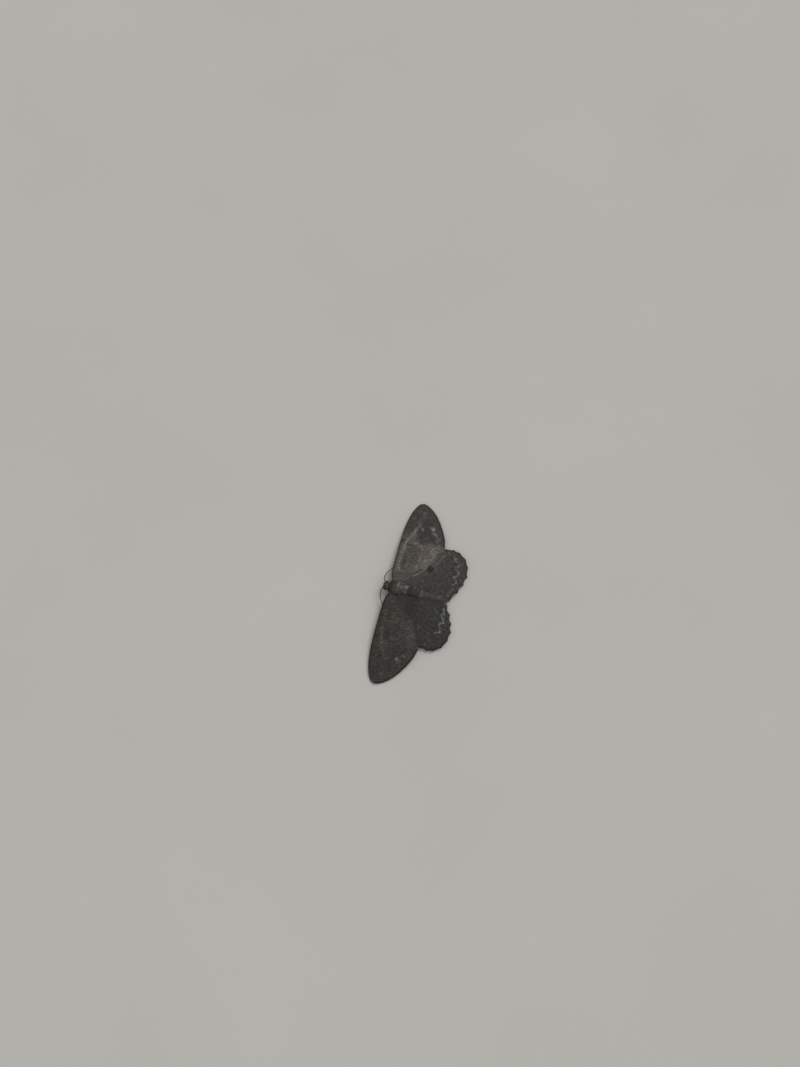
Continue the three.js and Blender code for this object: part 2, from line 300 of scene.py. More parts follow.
def new_material(name, surface, **options):
    """A material whose shader takes what the surface function gives for its sockets."""
    material = bpy.data.materials.new(name)
    material.use_nodes = True
    tree = material.node_tree
    fill(tree, tree.nodes["Principled BSDF"], surface(tree, **options).items())
    return material


MATERIALS = {
    "coat": new_material("scale_coat", coat_surface),
    "membrane": new_material("membrane", skin_surface, roughness=0.55),
    "cuticle": new_material("cuticle", skin_surface, roughness=0.5),
    "eye": new_material("eye_gloss", eye_surface),
    "horn": new_material("horn", horn_surface),
    "floor": new_material("floor_paint", floor_surface),
}


# ------------------------------------------------------------------ pieces from arrays


def make_piece(name, points, triangles, material, slot, replaces=(), uv=None, uv_triangles=None, **fields):
    """A mesh from points in the moth's frame, with its per-point fields and its bake map."""
    triangles = np.asarray(triangles, np.int32)
    mesh = bpy.data.meshes.new(name)
    mesh.vertices.add(len(points))
    mesh.vertices.foreach_set("co", world(points).ravel().astype(np.float32))
    mesh.loops.add(triangles.size)
    mesh.loops.foreach_set("vertex_index", triangles.ravel())
    mesh.polygons.add(len(triangles))
    mesh.polygons.foreach_set("loop_start", np.arange(0, triangles.size, 3, dtype=np.int32))
    mesh.update(calc_edges=True)
    mesh.polygons.foreach_set("use_smooth", np.ones(len(triangles), bool))
    for key, values in fields.items():
        if values.ndim == 2:
            rgba = np.column_stack([values, np.ones(len(values))]).astype(np.float32)
            mesh.attributes.new(key, "FLOAT_COLOR", "POINT").data.foreach_set("color", rgba.ravel())
        else:
            data = mesh.attributes.new(key, "FLOAT", "POINT").data
            data.foreach_set("value", values.astype(np.float32))
    if uv is not None:
        corners = triangles if uv_triangles is None else uv_triangles
        layer = mesh.uv_layers.new(name="OFBake")
        layer.data.foreach_set("uv", uv[corners.ravel()].astype(np.float32).ravel())
    mesh.materials.append(MATERIALS[material])
    piece = new_object(name, mesh)
    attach(piece, "root")
    if replaces:
        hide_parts(*replaces)


def plan_uv(plan, rim, floor=0.02, ceiling=0.98):
    """A flat map of what lies inside the rim, in the band of the square between floor and ceiling."""
    low, high = rim.min(0), rim.max(0)
    size = max((high[0] - low[0]) / 0.96, (high[1] - low[1]) / (ceiling - floor))
    return (plan - low) / size + np.array([0.02, floor])


# One scale seen from above: how far along it and how far across each corner lies, from its root round its
# notched end. The last column is the height of the corner, in shares of the scale's lift.
SCALE_RIM = np.array([
    (0.0, 0.0, 0.0), (0.4, 0.46, 0.3), (0.97, 0.4, 0.95), (0.9, 0.0, 1.05), (0.97, -0.4, 0.95),
    (0.4, -0.46, 0.3),
])
SCALE_KEEL = (0.55, 0.0, -0.6)  # the corner below, which makes it a closed wedge
HAIR_RINGS = [(0.0, 0.55), (0.35, 1.0), (0.75, 0.75)]  # how far along a hair, and its share of the width
HAIR_CORNERS = [(-0.5, -0.3), (0.5, -0.3), (0.0, 0.6)]  # across and up
HAIR_THICKNESS = 0.5  # as a share of its width
TUFT_PATCH = 0.003  # width of each tuft's place on the bake map


def column(values):
    """Values, one a tuft, ready to multiply the corners of each tuft."""
    return np.asarray(values)[:, None, None]


def tufts(shape, faces, roots, normals, lies, lengths, widths, rises, tint, places):
    """A coat of equal tufts. shape has each corner's place along and across, and rises what lifts it."""
    count, corners = len(roots), len(shape)
    points = (
        roots[:, None]
        + lies[:, None] * shape[None, :, 0:1] * column(lengths)
        + np.cross(normals, lies)[:, None] * shape[None, :, 1:2] * column(widths)
        + rises
    )
    first = np.arange(count)[:, None, None] * corners
    local = np.column_stack([shape[:, 1], shape[:, 0] - 0.5]) * TUFT_PATCH
    return {
        "points": points.reshape(-1, 3),
        "triangles": (np.array(faces)[None] + first).reshape(-1, 3),
        "along": np.tile(shape[:, 0], count),
        "across": np.tile(shape[:, 1] * 2, count),
        "tint": np.repeat(tint, corners, axis=0),
        "uv": (places[:, None] + local[None]).reshape(-1, 2),
    }


def scales(roots, normals, lies, lengths, widths, lifts, tint, places):
    """Flat scales: closed wedges that rise a little towards their notched ends."""
    shape = np.vstack([SCALE_RIM, SCALE_KEEL])
    rim = len(SCALE_RIM)
    faces = [(0, i + 1, i) for i in range(1, rim - 1)]
    faces += [(rim, i, (i + 1) % rim) for i in range(rim)]
    rises = normals[:, None] * shape[None, :, 2:3] * column(lifts)
    return tufts(shape, faces, roots, normals, lies, lengths, widths, rises, tint, places)


def hairs(roots, normals, lies, lengths, widths, rise, droop, tint, places):
    """Hair-scales: thin three-sided spikes that rise from the skin and bend back down along their lie."""
    shape = [
        (along, across * share, up * share) for along, share in HAIR_RINGS for across, up in HAIR_CORNERS
    ]
    shape = np.array(shape + [(1.0, 0.0, 0.0)])
    sides, tip = len(HAIR_CORNERS), len(shape) - 1
    faces = [(0, 2, 1)]
    for ring in range(0, tip, sides):
        for k in range(sides):
            a, b = ring + k, ring + (k + 1) % sides
            if ring + sides < tip:
                faces += [(a, b, a + sides), (b, b + sides, a + sides)]
            else:
                faces.append((a, b, tip))
    rise, droop = (np.broadcast_to(value, len(roots))[:, None] for value in (rise, droop))
    bend = rise * shape[:, 0] - droop * shape[:, 0] ** 2
    up = bend[:, :, None] * column(lengths) + shape[None, :, 2:3] * column(widths) * HAIR_THICKNESS
    return tufts(shape, faces, roots, normals, lies, lengths, widths, normals[:, None] * up, tint, places)


def make_coat(name, coats, slot):
    """One piece from coats of scales or hairs."""
    fields = {key: np.concatenate([coat[key] for coat in coats]) for key in coats[0]}
    starts = np.cumsum([0] + [len(coat["points"]) for coat in coats])
    fields["triangles"] = np.concatenate([coat["triangles"] + start for coat, start in zip(coats, starts)])
    make_piece(name, material="coat", slot=slot, **fields)


# Least and greatest length and width, and lift where it varies, of the tufts of each kind.
TUFT_SIZES = {
    "front edge": ((0.18, 0.24), (0.08, 0.11), (0.01, 0.022)),
    "wing root": ((0.45, 0.75), (0.045, 0.065)),
    "abdomen": ((0.22, 0.3), (0.09, 0.12), (0.02, 0.04)),
    "face": ((0.13, 0.19), (0.055, 0.08), (0.02, 0.035)),
    "crown": ((0.2, 0.32), (0.04, 0.06)),
    "orbit": ((0.09, 0.13), (0.06, 0.08)),
}


def sizes(kind, count, rng):
    return [rng.uniform(*pair, count) for pair in TUFT_SIZES[kind]]


# ------------------------------------------------------------------ colours and markings

GREY = np.array([0.0743, 0.0718, 0.0655])
BROWN = np.array([0.16, 0.139, 0.12])
PINK = np.array([0.215, 0.188, 0.166])
BEIGE = np.array([0.33, 0.303, 0.255])
OLIVE = np.array([0.225, 0.205, 0.145])
ASH = np.array([0.15, 0.146, 0.127])
UMBER = np.array([0.05, 0.0415, 0.037])
MAROON = np.array([0.05, 0.03, 0.028])
VIOLET = np.array([0.04, 0.038, 0.0405])
SOOT = np.array([0.026, 0.0252, 0.0255])
CHALK = np.array([0.46, 0.446, 0.4])
UNDER = np.array([0.12, 0.112, 0.1])

# The marks on each wing, in the order they are painted. A colour is followed by its marks: how far the tint
# moves to it, the width over which it fades, and its path on the plan. A path of one place is a spot.
RIGHT_FOREWING = (
    (OLIVE, (0.7, 0.7, (12.4, 3.9), (13.4, 4.2))), (ASH, (0.8, 0.5, (16.8, 4.2), (17.1, 4.6))),
    (PINK, (0.8, 1.0, (6.5, 7.7), (8.5, 8.5), (10.6, 9.3)), (0.55, 0.7, (10.8, 7.1), (11.6, 8.4))),
    (GREY * 1.2, (0.85, 0.85, (6.9, 4.9), (9.2, 4.9))),
    (SOOT, (0.38, 0.95, (12.8, 5.9), (14.6, 6.6), (13.6, 8.3)), (0.25, 1.2, (16.5, 6.4), (18.0, 7.0)),
     (0.4, 0.4, (16.6, 5.9), (18.2, 6.4))),
    (BEIGE, (0.9, 0.27, (4.2, 2.8), (5.1, 2.3), (6.0, 2.15)), (0.8, 0.3, (6.3, 2.2), (7.6, 2.4)),
     (0.9, 0.36, (8.5, 2.25), (9.6, 2.5), (10.7, 2.5)),
     (1.0, 0.3, (11.3, 2.6), (12.0, 2.9), (13.0, 3.4), (14.0, 3.75), (14.9, 4.05)),
     (0.65, 0.25, (14.9, 4.05), (15.6, 4.4), (16.3, 4.7))),
    (PINK, (0.7, 0.25, (16.1, 4.6), (15.75, 5.25), (15.1, 5.6))),
    (BEIGE, (0.8, 0.2, (11.45, 4.3), (11.35, 5.2), (11.0, 6.2)), (0.45, 0.2, (11.5, 5.1), (12.3, 5.1)),
     (0.8, 0.2, (5.3, 6.35), (6.4, 6.2)), (0.5, 0.22, (7.2, 6.55), (8.9, 6.4), (10.3, 6.55)),
     (0.85, 0.22, (3.9, 6.3), (4.4, 7.1), (5.0, 7.9), (5.6, 8.45), (6.4, 8.65)),
     (0.7, 0.3, (7.8, 7.7), (7.9, 8.0)), (0.5, 0.2, (8.0, 8.0), (8.9, 9.2), (9.6, 9.6)),
     (0.85, 0.24, (10.2, 8.5), (10.8, 8.9), (11.5, 9.3)), (0.55, 0.2, (9.8, 9.0), (10.6, 9.9)),
     (0.55, 0.3, (11.6, 9.8), (12.3, 10.2))),
    (CHALK, (0.3, 0.16, (6.4, 4.25)), (0.3, 0.17, (7.1, 4.6)), (0.26, 0.16, (5.4, 5.0)),
     (0.42, 0.17, (5.9, 5.45)), (0.25, 0.2, (8.0, 3.9)), (0.26, 0.17, (8.6, 4.6)),
     (0.26, 0.17, (8.25, 5.5)), (0.26, 0.15, (9.6, 5.6)), (0.25, 0.17, (17.9, 4.6)),
     (0.4, 0.2, (17.5, 2.6), (17.55, 2.9)), (0.2, 0.22, (19.75, 4.0)),
     (0.35, 0.15, (15.1, 5.55), (15.3, 5.9)), (0.2, 0.2, (17.6, 8.7)),
     (0.25, 0.11, (18.2, 5.5), (18.25, 4.9)), (0.25, 0.1, (18.6, 5.5), (18.65, 4.9)),
     (0.22, 0.13, (19.0, 5.5), (19.05, 4.8)), (0.36, 0.16, (19.45, 5.4), (19.3, 4.7)),
     (0.25, 0.15, (18.5, 6.1), (18.7, 6.8)), (0.18, 0.2, (12.9, 6.25), (13.5, 7.3)),
     (0.85, 0.34, (15.55, 7.9), (16.05, 7.85)), (0.55, 0.17, (16.1, 7.6), (16.1, 7.0)),
     (0.65, 0.17, (14.7, 8.0), (14.85, 8.75), (14.1, 9.1)), (0.26, 0.3, (13.1, 9.45), (13.9, 9.95))),
    (UMBER, (0.62, 0.19, (3.15, 2.0), (3.35, 3.0), (3.5, 3.7), (3.7, 4.6), (3.95, 5.5), (4.4, 6.3)),
     (0.8, 0.25, (4.5, 6.4), (5.0, 6.9), (5.5, 7.5))),
    (SOOT, (0.6, 0.17, (4.3, 4.55), (4.6, 4.5))),
    (UMBER, (0.55, 0.17, (4.75, 2.9), (4.8, 3.9)), (0.65, 0.42, (5.5, 3.2), (7.2, 3.3)),
     (0.6, 0.36, (7.1, 3.2), (8.5, 3.3)), (0.25, 0.6, (9.2, 3.4), (10.4, 4.6)),
     (0.3, 1.0, (2.4, 2.6), (2.8, 5.0))),
    (SOOT * 0.4, (1.1, 0.42, (6.1, 9.1), (6.75, 9.4))), (SOOT, (0.6, 0.15, (5.7, 4.9))),
    (UMBER, (0.85, 0.19, (10.6, 2.9), (10.75, 4.1))),
    (SOOT, (0.6, 0.14, (6.8, 6.05), (7.2, 6.05)), (0.5, 0.14, (7.9, 6.05), (8.8, 6.1))),
    (UMBER, (0.65, 0.14, (9.4, 6.1), (10.1, 6.1)), (0.65, 0.15, (8.0, 7.15), (8.5, 7.3))),
    (SOOT, (0.5, 0.12, (9.15, 7.1))),
    (UMBER, (0.5, 0.12, (8.4, 7.7), (8.6, 8.6), (9.0, 9.6)), (0.45, 0.14, (9.6, 7.5), (9.9, 8.2)),
     (0.6, 0.25, (9.6, 10.3), (10.5, 10.7))),
    (SOOT, (0.45, 0.28, (12.6, 8.6)), (0.45, 0.25, (13.7, 8.4)), (0.45, 0.25, (15.6, 6.5))),
    (VIOLET, (0.6, 0.32, (13.9, 10.5), (15.0, 10.75))),
    (SOOT, (0.45, 0.28, (17.2, 9.1)), (0.45, 0.2, (19.9, 4.7), (20.0, 5.5)),
     (0.45, 0.28, (20.9, 5.8), (21.0, 6.3))),
    (MAROON, (0.95, 0.36, (11.3, 1.6), (11.45, 1.95))),
)
LEFT_FOREWING = (
    (OLIVE, (0.22, 0.8, (12.8, 3.1), (13.4, 3.4)), (0.3, 0.25, (6.6, 3.5), (6.7, 5.4)),
     (0.3, 0.25, (7.4, 3.5), (7.6, 5.4))),
    # The broad bluish-dark patch at the root is painted shadow, cast by the body on the left wings.
    (VIOLET, (0.7, 1.1, (2.2, 6.9), (3.8, 7.1), (4.7, 7.5))),
    (SOOT, (0.4, 0.5, (10.4, 3.8), (11.0, 3.9)), (0.4, 0.3, (15.0, 3.3)), (0.5, 0.3, (16.6, 5.8))),
    (VIOLET, (0.6, 0.25, (13.75, 6.2), (13.8, 7.4), (13.8, 8.2)), (0.5, 0.35, (15.0, 8.4), (15.0, 9.1))),
    (SOOT, (0.4, 0.25, (15.0, 6.4)), (0.35, 0.18, (18.0, 2.9), (18.8, 3.05), (20.4, 3.05)),
     (0.45, 0.25, (10.75, 9.2)), (0.4, 0.25, (11.8, 8.2)), (0.4, 0.3, (13.4, 10.3)),
     (0.75, 0.26, (11.4, 1.6))),
    (MAROON, (0.35, 0.2, (13.3, 1.25), (14.2, 1.4))),
    (SOOT, (0.6, 0.15, (6.0, 5.75)), (0.6, 0.15, (7.5, 5.8)), (0.7, 0.17, (7.3, 7.0)),
     (0.6, 0.15, (6.1, 7.45), (6.5, 7.2))),
    (CHALK, (0.6, 0.29, (15.3, 7.2), (15.45, 7.25)), (0.36, 0.18, (14.25, 8.3), (14.3, 8.6)),
     (0.28, 0.2, (14.6, 9.7)), (0.32, 0.22, (19.1, 4.5)), (0.17, 0.14, (15.4, 4.9), (15.4, 5.4)),
     (0.18, 0.22, (12.3, 9.25)), (0.14, 0.25, (11.5, 2.7)), (0.16, 0.22, (10.9, 4.8)),
     (0.14, 0.3, (4.4, 4.75)), (0.12, 0.25, (5.6, 3.9)), (0.12, 0.3, (5.25, 5.6)),
     (0.12, 0.16, (9.3, 8.4), (9.5, 9.4)), (0.1, 0.2, (6.4, 7.9))),
)
RIGHT_HINDWING = (
    (BROWN, (0.6, 0.75, (7.8, 10.4), (9.6, 11.2), (11.3, 11.7))),
    (ASH, (0.45, 0.6, (5.6, 9.4), (8.4, 10.9))), (BROWN, (0.3, 0.6, (2.6, 6.4), (5.2, 8.4))),
    (CHALK, (0.16, 0.28, (1.75, 10.8)), (0.17, 0.4, (6.6, 10.9)), (0.13, 0.3, (8.1, 10.5)),
     (0.16, 0.45, (9.9, 11.5), (10.2, 11.6)), (0.14, 0.3, (1.3, 11.75)), (0.15, 0.3, (2.1, 13.25)),
     (0.13, 0.15, (6.8, 13.6), (6.8, 14.3)), (0.13, 0.15, (7.4, 13.6), (7.4, 14.3)),
     (0.13, 0.22, (6.0, 13.5)), (0.14, 0.15, (5.0, 14.0), (5.1, 14.4)), (0.16, 0.25, (8.1, 16.6)),
     (0.13, 0.2, (5.4, 16.5), (5.5, 16.9)), (0.13, 0.25, (3.7, 16.4))),
    (SOOT, (0.62, 0.26, (4.6, 15.3), (5.2, 14.95), (5.9, 14.5)),
     (0.55, 0.3, (6.5, 15.1), (7.1, 15.2), (7.6, 14.7), (8.2, 14.5)), (0.8, 0.2, (9.0, 14.8), (9.0, 15.2)),
     (0.6, 0.25, (9.1, 14.3)), (0.5, 0.28, (3.7, 14.9)), (0.45, 0.32, (2.3, 13.9), (3.1, 14.2)),
     (0.5, 0.18, (10.1, 13.4)), (0.5, 0.28, (10.9, 15.5)), (0.55, 0.22, (8.0, 15.9)),
     (0.4, 0.22, (5.0, 16.6)), (0.4, 0.22, (7.4, 17.1)), (0.3, 0.16, (8.25, 11.0), (8.3, 12.8))),
    (MAROON, (0.5, 0.28, (2.75, 16.4))),
    (CHALK, (0.48, 0.2, (1.25, 14.4), (1.35, 14.75)), (0.3, 0.2, (2.1, 15.0), (2.5, 15.1)),
     (0.42, 0.22, (3.05, 15.4)),
     (0.46, 0.17, (4.1, 15.3), (4.6, 15.9), (5.1, 15.85), (5.5, 15.5), (5.9, 15.05), (6.1, 15.2),
      (6.4, 15.8)),
     (0.4, 0.22, (6.8, 16.05), (7.2, 16.0)),
     (0.5, 0.18, (7.25, 15.8), (7.6, 15.3), (7.9, 15.0), (8.25, 15.1), (8.75, 15.6), (9.1, 15.8)),
     (0.52, 0.18, (9.5, 15.1), (9.9, 14.5), (10.35, 14.55), (10.7, 14.1)),
     (0.4, 0.2, (10.3, 14.5), (10.4, 14.7)), (0.25, 0.18, (9.4, 14.2)),
     (0.22, 0.15, (10.6, 13.1), (11.5, 12.75))),
    (SOOT * 0.4, (1.1, 0.52, (5.95, 9.35), (6.5, 9.75))), (CHALK, (0.4, 0.18, (7.4, 9.95))),
    (UMBER, (0.5, 0.25, (9.6, 10.9), (10.8, 11.3))),
)
LEFT_HINDWING = (
    # The broad bluish-dark patch at the root is painted shadow, cast by the body on the left wings.
    (VIOLET, (0.6, 1.1, (1.8, 7.2), (3.8, 7.6))),
    (CHALK, (0.14, 0.25, (2.6, 12.9)), (0.13, 0.2, (4.25, 13.1), (4.3, 13.5)),
     (0.15, 0.3, (8.3, 12.6), (8.7, 12.4)), (0.22, 0.18, (10.6, 12.3), (10.6, 12.9)),
     (0.18, 0.16, (9.6, 12.9), (9.5, 13.4)), (0.34, 0.26, (7.1, 10.05), (7.4, 10.1)),
     (0.14, 0.25, (4.4, 16.0))),
    (SOOT, (0.5, 0.28, (1.4, 13.9), (2.2, 14.0), (3.0, 14.0)), (0.5, 0.25, (4.1, 14.3), (4.6, 14.5)),
     (0.65, 0.25, (5.2, 13.6), (5.6, 13.7)), (0.5, 0.25, (6.5, 13.9), (6.9, 13.7)),
     (0.5, 0.25, (7.6, 13.2), (8.3, 13.3)), (0.5, 0.22, (7.1, 15.8)), (0.4, 0.3, (9.25, 14.9)),
     (0.4, 0.15, (6.2, 11.1), (6.3, 11.4)), (0.35, 0.4, (6.4, 9.4), (6.8, 9.5))),
    (CHALK, (0.64, 0.2, (1.8, 14.6), (2.4, 14.75), (2.95, 14.95)),
     (0.42, 0.17, (2.95, 14.9), (3.3, 14.2), (3.9, 14.8)),
     (0.74, 0.19, (3.9, 14.8), (4.8, 15.25), (5.25, 14.4)),
     (0.45, 0.17, (5.3, 14.3), (6.1, 14.75), (7.0, 14.95)), (0.7, 0.16, (7.1, 14.9), (7.6, 13.9))),
)
SHADES = {"forewing_right": 1.07, "forewing_left": 1.26, "hindwing_right": 1.02, "hindwing_left": 1.04}
VEIN_SHADE = 0.13  # how much paler the scales along the veins are
MARK_SPREAD = 1.06  # how much wider the marks are painted than they are written here
# The left forewing's weak share is partly painted shade, as the left wings slope away from the light, and
# partly its own duller colour.
DULL = 0.19  # how strongly the left forewing shows the marks of the right one
BOLD = 1.35  # how strongly it shows its own
LINE_DEPTH = 0.34  # how dark the thin broken lines across the veins are
# On the left forewing's rear edge the darkening is painted shade, which hides the light catching that edge;
# on the front edges it is their own dark colour.
EDGE_SHADE = 0.4  # how far in the front edge of a forewing, and the rear one of the left, are darkened


def painted(tint, plan, marks, share=1.0):
    """The tint with the marks painted over it, unevenly."""
    patchy = share * np.clip(0.9 + 0.35 * ripple(plan, 0.75, 40), 0.35, 1.15)
    for colour, *paths in marks:
        for strength, width, *path in paths:
            mark = near(plan, path, width * MARK_SPREAD) * strength * patchy
            tint = mix(tint, colour, np.minimum(mark, 1))
    return tint


def mottling(wing, plan, seed):
    """How much paler or darker each place is than its tint: patches, grain, veins and lines across them."""
    waves = 0.13 * ripple(plan, 2.1, seed + 3) + 0.26 * ripple(plan, 0.95, seed + 4)
    waves = waves + 0.23 * ripple(plan, 0.5, seed + 8)
    waves = waves * (1.0 if wing["name"] == "forewing_right" else 1.3)
    on_vein = np.exp(-((away_from("veins", wing, plan) / 0.14) ** 2))
    waves = waves + VEIN_SHADE * on_vein * np.clip(1 + ripple(plan, 1.3, seed + 7), 0, 2)
    crossed = np.abs(ripple(plan * (0.55, 1.6), 1.1, seed + 5))
    broken = smoothstep(-0.2, 0.5, ripple(plan, 1.9, seed + 6))
    return waves - LINE_DEPTH * np.exp(-((crossed / 0.12) ** 2)) * broken


def wing_tint(wing, plan, edge=None):
    """Colours over a wing. edge is how far each place is taken to be from the outer margin."""
    edge = away_from("margin", wing, plan) if edge is None else edge
    right, upper = wing["side"] < 0, wing["kind"] == "forewing"
    seed = 3 + wing["side"] + 10 * upper
    bent = plan + 0.09 * np.column_stack([ripple(plan, 0.9, seed + 1), ripple(plan, 0.9, seed + 2)])
    x, y = bent.T
    tint = np.tile(GREY, (len(plan), 1))
    if upper:
        inner = 1 - smoothstep(10.8, 12.8, x - 1.6 * smoothstep(4.0, 2.0, y) + 0.4 * ripple(plan, 2.4, seed))
        # The left forewing gets little of the brown: partly painted shade, as it slopes away from the light,
        # and partly its own greyer colour.
        tint = mix(tint, BROWN, inner * (1.0 if right else 0.09))
    if upper and right:
        rear = inner * smoothstep(5.6, 6.5, y) * smoothstep(4.4, 5.4, x)
        tint = painted(mix(tint, PINK, rear * 0.4), bent, RIGHT_FOREWING)
    elif upper:
        tint = painted(painted(tint, bent, RIGHT_FOREWING, DULL), bent, LEFT_FOREWING, BOLD)
    else:
        tint = painted(tint, bent, RIGHT_HINDWING if right else LEFT_HINDWING)
    tint = tint * np.exp(mottling(wing, plan, seed))[:, None] * SHADES[wing["name"]]
    if upper:
        beside = np.exp(-((away_from("front", wing, plan) / EDGE_SHADE) ** 2))
        tint = mix(tint, UMBER * 0.8, beside * 0.85)
    # Painted shade along the left forewing's rear edge, which hides the light catching that edge.
    if upper and not right:
        tint = mix(tint, SOOT, np.exp(-((away_from("rear", wing, plan) / EDGE_SHADE) ** 2)) * 0.6)
    rim = np.exp(-(((edge - FRINGE) / 0.2) ** 2)) * smoothstep(2.0, 4.0, plan[:, 0])
    return mix(tint, SOOT, rim * 0.6)


def speckle(tint, rng, spreading=0.24, pale=0.05, dark=0.09):
    """Gives each scale its own shade: a few are pale, and a few are nearly black."""
    count = len(tint)
    shade = np.exp(rng.normal(0, spreading, count))
    kind = rng.random(count)
    shade = np.where(kind < pale, shade * 1.55, shade)
    shade = np.where(kind > 1 - dark, shade * 0.55, shade)
    return tint * shade[:, None] * (1 + rng.normal(0, 0.03, (count, 3)))


# ------------------------------------------------------------------ CAD nodes as arrays


def node_arrays(name):
    """A CAD node's welded points in the moth's frame, and its triangles."""
    bm = bmesh.new()
    bm.from_mesh(frame["nodes"][name].data)
    bmesh.ops.remove_doubles(bm, verts=bm.verts, dist=0.002 * MM)
    bmesh.ops.triangulate(bm, faces=bm.faces)
    bm.verts.index_update()
    points = np.array([v.co for v in bm.verts]) / MM - ORIGIN
    triangles = np.array([[v.index for v in f.verts] for f in bm.faces])
    bm.free()
    return points, triangles


def face_normals(points, triangles):
    a, b, c = (points[triangles[:, k]] for k in range(3))
    return unit(np.cross(b - a, c - a))


def search_tree(points, triangles):
    return BVHTree.FromPolygons(points.tolist(), triangles.tolist())


# ------------------------------------------------------------------ wings

# Where the ways of the scales spread from, and where the veins start.
FANS = {"forewing": np.array([-0.8, 3.1]), "hindwing": np.array([-0.4, 3.8])}
HINGES = {"forewing": np.array([1.2, 3.1]), "hindwing": np.array([1.2, 5.0])}
CAD_THICKNESS = 0.5
SEAT = {"forewing": -0.17, "hindwing": 0.13}  # from the middle of the solid, so that the two lie close
REAR_DROP = 0.15  # how far the forewing's rear edge sinks towards the hindwing under it
FRINGE = 0.4  # width of the fringe of long scales round the outer margin
EVENING = 60  # steps that even out the scalloped margin, to find how deep its hollows are
HOLLOW_FILL = 0.8  # how far the fringe fills a hollow, as a share of its depth
HALF_MEMBRANE = 0.032  # half its thickness away from the veins
MESH_STEP = 0.17  # between the membrane's points
MESH_ROW_STEP = MESH_STEP * 0.866  # between their rows
CURVE_STEP, OUTLINE_STEP = 0.12, 0.1  # between samples along veins and outlines
SLOPE_STEP = 0.08  # between the places whose heights give a slope
ROOT_CLEAR = 2.2  # the height is fitted to what lies further out than this
MARGIN_START = {"forewing": 3.6, "hindwing": 11.6}  # how far back the outer margin starts
TIPS = 9  # veins that end on the outer margin, the apex and the tornus included


def plan_loop(points, triangles):
    """The rim of the upward faces, in order, as points of the plan."""
    up = face_normals(points, triangles)[:, 2] > 0.6
    edges = dict.fromkeys((a, b) for face in triangles[up] for a, b in zip(face, np.roll(face, -1)))
    rim = {a: b for a, b in edges if (b, a) not in edges}
    loops = []
    while rim:
        start = next(iter(rim))
        loop, at = [], start
        while at in rim:
            loop.append(at)
            at = rim.pop(at)
        loops.append(loop)
    return points[max(loops, key=len)][:, :2]


def height_fit(points, triangles):
    """The wing's middle height as a smooth function of the plan, fitted to the solid's upper points."""
    up = face_normals(points, triangles)[:, 2] > 0.6
    upper = points[np.unique(triangles[up])]
    upper = upper[np.abs(upper[:, 0]) > ROOT_CLEAR]

    def terms(plan):
        x, y = np.abs(plan[:, 0]), plan[:, 1]
        u, v, fall = x / 22, y / 18, np.exp(-x / 5.5)
        powers = [u**i * v**j for i in range(6) for j in range(6 - i)]
        return np.column_stack(powers + [fall, fall * v, fall * v * v, fall * v**3])

    weights = np.linalg.lstsq(terms(upper), upper[:, 2] - CAD_THICKNESS / 2, rcond=1e-6)[0]
    return lambda plan: terms(plan) @ weights


def resampled(loop, step):
    """The loop with samples the same distance apart."""
    ring = np.vstack([loop, loop[:1]])
    length = distances(ring)
    at = np.linspace(0, length[-1], int(length[-1] / step), endpoint=False)
    return np.column_stack([np.interp(at, length, ring[:, k]) for k in range(2)])


def outward_normals(loop, width):
    """Normals of a loop that turns anticlockwise, evened out over that many samples to each side."""
    ahead, behind = np.roll(loop, -width, 0), np.roll(loop, width, 0)
    along = unit(ahead - behind)
    return np.column_stack([along[:, 1], -along[:, 0]])


def inside(plan, loop):
    """Whether each place of the plan lies inside the loop."""
    x, y = plan.T
    odd = np.zeros(len(plan), bool)
    for a, b in zip(loop, np.roll(loop, -1, 0)):
        if a[1] == b[1]:
            continue
        crosses = (a[1] > y) != (b[1] > y)
        odd ^= crosses & (x < (b[0] - a[0]) * (y - a[1]) / (b[1] - a[1]) + a[0])
    return odd


